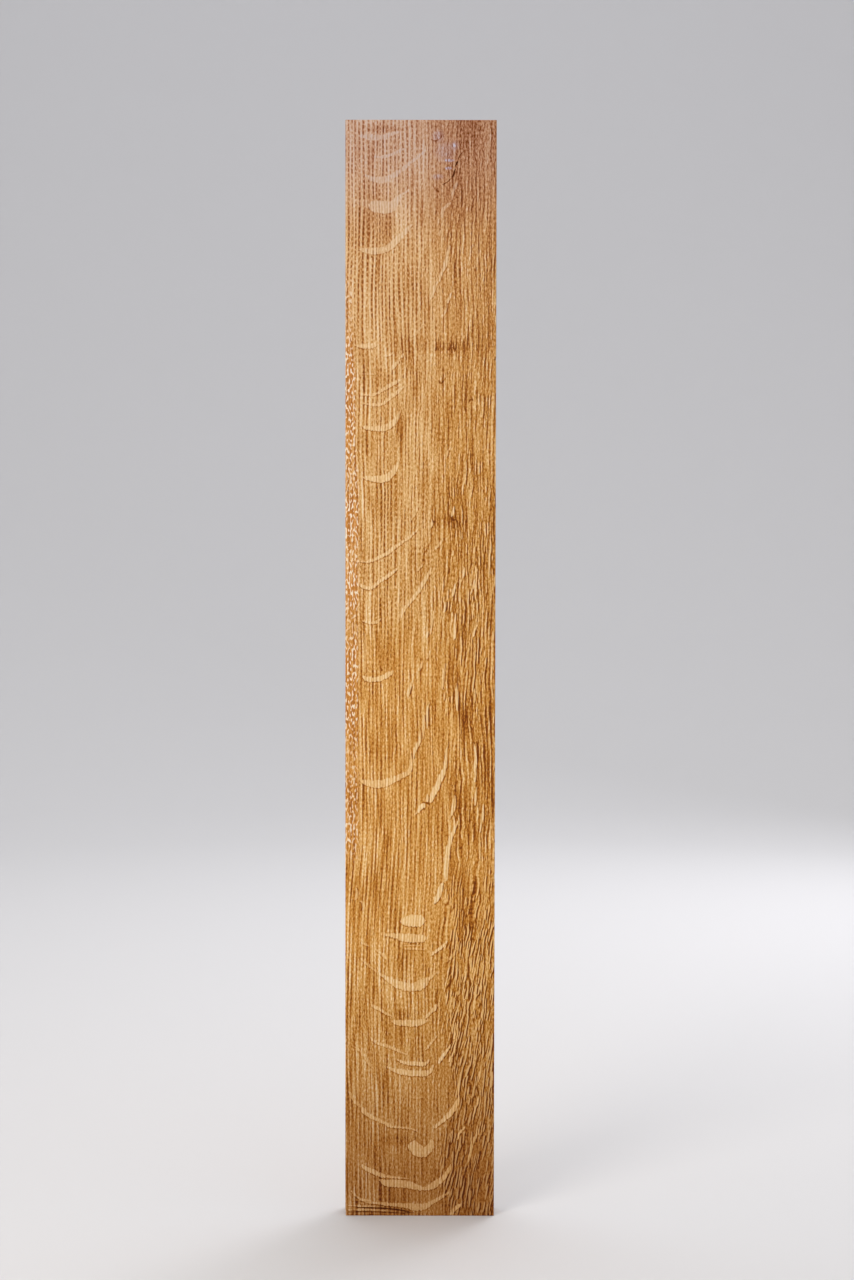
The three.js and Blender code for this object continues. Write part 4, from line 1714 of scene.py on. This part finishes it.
        # painted glints, broken into bars by the grain
        painted_glint_mask = add(tree, Kind.RANGE, {0: gloss, 1: 1.9, 2: 3.6})
        bars = add(tree, Kind.RANGE, {0: light, 1: 0.34, 2: 0.62, 4: 0.9})
        tints = (
            (wood.milk, pale, self.ray_cream, Blend.LAID),
            (wood.gold, 1.0, self.golden, Blend.MULTIPLIED),
            (wood.chatter, 0.36, self.orange_heart, Blend.LAID),
            (dash, 0.75, self.dash_white, Blend.LAID),
            (ray, creamy, self.ray_cream, Blend.LAID),
            # painted highlight: gold on the crests of the rippled grain
            (wood.scales, painted_crest_mask, self.painted_crest_highlight, Blend.LAID),
            # painted shade: the foot darker and browner
            (wood.foot, bare, self.painted_foot_shade, Blend.MULTIPLIED),
            # painted sheen: a bluish reflection on the glossy top
            (gloss, painted_sheen, self.painted_sheen_blue, Blend.LAID),
            # painted glints on the brightest spots of the top
            (painted_glint_mask, bars, self.painted_glint_colour, Blend.LAID),
            (ends, 0.55, self.end_brown, Blend.LAID),
        )
        for where, share, tint, blend in tints:
            weight = add(tree, Kind.MATH, {0: where, 1: share}, operation="MULTIPLY", use_clamp=True)
            mix = {0: weight, 6: colour, 7: linear(tint)}
            colour = add(tree, Kind.MIX, mix, 2, data_type="RGBA", blend_type=blend.value)
        return colour


@dataclass(frozen=True)
class PalePaper:
    """Matt pale studio paper: even, dull and nearly white."""

    colour: str = "d2d2d4"
    roughness: float = 0.9

    def material(self) -> bpy.types.Material:
        """Makes the paper's material.

        Returns:
            The finished material.
        """
        made = bpy.data.materials.new("studio_paper")
        made.use_nodes = True
        shader = made.node_tree.nodes["Principled BSDF"]
        shader.inputs["Base Color"].default_value = linear(self.colour)
        shader.inputs["Roughness"].default_value = self.roughness
        return made


@dataclass(frozen=True)
class SoftLight:
    """A square soft light: its place and aim in metres, its side and its power in watts."""

    name: str
    place: tuple[float, float, float]
    aim: tuple[float, float, float]
    side: float
    power: float
    colour: str
    gloss_only: bool = False

    def build(self) -> bpy.types.Object:
        """Adds the light, turned so that it shines from its place towards its aim.

        Returns:
            The lamp, which the camera doesn't see.
        """
        data = bpy.data.lights.new(self.name, "AREA")
        data.shape, data.size, data.energy = "SQUARE", self.side, self.power
        data.color = linear(self.colour)[:3]
        lamp = bpy.data.objects.new(self.name, data)
        bpy.context.scene.collection.objects.link(lamp)
        lamp.location = self.place
        towards = Vector(self.aim) - Vector(self.place)
        lamp.rotation_mode = "QUATERNION"
        lamp.rotation_quaternion = towards.to_track_quat("-Z", "Y")
        lamp.visible_camera = False
        lamp.visible_diffuse = not self.gloss_only
        return lamp


@dataclass
class Studio:
    """The plain pale cove that the board stands in, its soft lights and the camera.

    Sizes are in metres. ambient is the strength of the light that the air gives from all
    sides.
    """

    floor_radius: float = 2.2
    cove_radius: float = 2.6
    wall_top: float = 5.2
    bend_steps: int = 12
    turn_steps: int = 96
    ambient: float = 0.335
    air: str = "fdfbf6"
    lights: tuple[SoftLight, ...] = (
        SoftLight("key", (-1.05, -1.25, 0.80), (0.0, 0.0, 0.48), 0.8, 16.9, "fff6ec"),
        SoftLight("overhead", (0.3, 0.2, 2.9), (0.0, 0.0, 0.0), 2.4, 44.0, "fffdfa"),
        SoftLight("rim", (1.3, 1.6, 1.2), (0.0, 0.0, 0.5), 0.9, 14.0, "fbfaff"),
        SoftLight("wash", (0.0, 0.9, 3.9), (0.0, 4.8, 1.7), 2.2, 75.0, "fbfbff"),
        SoftLight("window", (-0.35, -1.9, 1.6), (0.0, 0.0, 0.8), 0.7, 34.0, "7fb0ff", gloss_only=True),
    )

    def cove(self) -> bpy.types.Object:
        """Turns a profile about the vertical: flat floor, quarter circle, straight wall.

        On the quarter circle the radius is floor_radius + cove_radius × sin and the height
        cove_radius × (1 - cos) of its angle.

        Returns:
            The cove, whose floor is at height 0.
        """
        bend = np.linspace(0, math.pi / 2, self.bend_steps + 1)
        radius = self.floor_radius + self.cove_radius * np.sin(bend)
        height = self.cove_radius * (1 - np.cos(bend))
        radius = np.concatenate([[0.0], radius, [radius[-1]]])
        height = np.concatenate([[0.0], height, [self.wall_top]])
        turns = np.linspace(0, 2 * math.pi, self.turn_steps + 1)[:-1]
        out, up = radius[1:, None], height[1:, None]
        ring = np.broadcast_arrays(out * np.cos(turns), out * np.sin(turns), up)
        ring = np.stack(ring, axis=-1)
        points = np.vstack([[[0.0, 0.0, 0.0]], ring.reshape(-1, 3)])
        here = 1 + np.arange(ring.shape[0] * len(turns)).reshape(ring.shape[0], len(turns))
        beside = np.roll(here, -1, axis=1)
        quads = np.stack([here[:-1], here[1:], beside[1:], beside[:-1]], axis=-1).reshape(-1, 4)
        fan = np.stack([np.zeros(len(turns), int), here[0], beside[0]], axis=-1)
        mesh = bpy.data.meshes.new("studio_cove")
        mesh.from_pydata(points.tolist(), [], fan.tolist() + quads.tolist())
        mesh.shade_smooth()
        cove = bpy.data.objects.new("studio_cove", mesh)
        bpy.context.scene.collection.objects.link(cove)
        mesh.materials.append(PalePaper().material())
        return cove

    def camera(self) -> bpy.types.Object:
        """Places the camera at the photograph's distance, height and angle.

        Returns:
            The camera, which the scene renders through.
        """
        view = VIEWPOINT
        data = bpy.data.cameras.new("camera")
        data.lens, data.sensor_width = view.lens, view.sensor
        camera = bpy.data.objects.new("camera", data)
        bpy.context.scene.collection.objects.link(camera)
        camera.location = (view.x, cad_box[0][1] - view.distance, view.height)
        pitch = Euler((math.radians(90 - view.pitch_down), 0, 0)).to_matrix()
        turn = pitch @ Matrix.Rotation(math.radians(view.roll), 3, "Z")
        camera.rotation_euler = turn.to_euler()
        bpy.context.scene.camera = camera
        return camera

    def build(self) -> None:
        """Sets up cove, lights, ambient light, colour handling and camera."""
        self.cove()
        for light in self.lights:
            light.build()
        world = bpy.data.worlds.new("studio_air")
        bpy.context.scene.world = world
        world.use_nodes = True
        air = world.node_tree.nodes["Background"]
        air.inputs["Color"].default_value = linear(self.air)
        air.inputs["Strength"].default_value = self.ambient
        view = bpy.context.scene.view_settings
        view.view_transform = "Standard"
        view.look = "None"
        self.camera()


@dataclass
class OakBoard:
    """The whole object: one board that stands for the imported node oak_board."""

    node: str = "oak_board"
    slot: str = "planed_oak"
    piece: str = "quartersawn_board"

    def build(self) -> bpy.types.Object:
        """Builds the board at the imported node's size, dresses it and ties it to the frame.

        Returns:
            The finished piece.
        """
        low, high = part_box(self.node)
        width, thickness, length = ((high - low) / METRES)[:]
        board = BoardMesh(width, thickness, length).build(self.piece)
        board.data.materials.append(PlanedOak(width / 2, length / 2).material())
        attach(board, "root")
        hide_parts(self.node)
        triangles = sum(len(p.vertices) - 2 for p in board.data.polygons)
        size = (width, thickness, length)
        log.info("%s: %.1f by %.1f by %.1f mm, %d triangles", self.piece, *size, triangles)
        return board


def main() -> None:
    logging.basicConfig(level=logging.INFO, format="%(name)s: %(message)s")
    OakBoard().build()
    Studio().build()


if __name__ == "__main__":
    main()
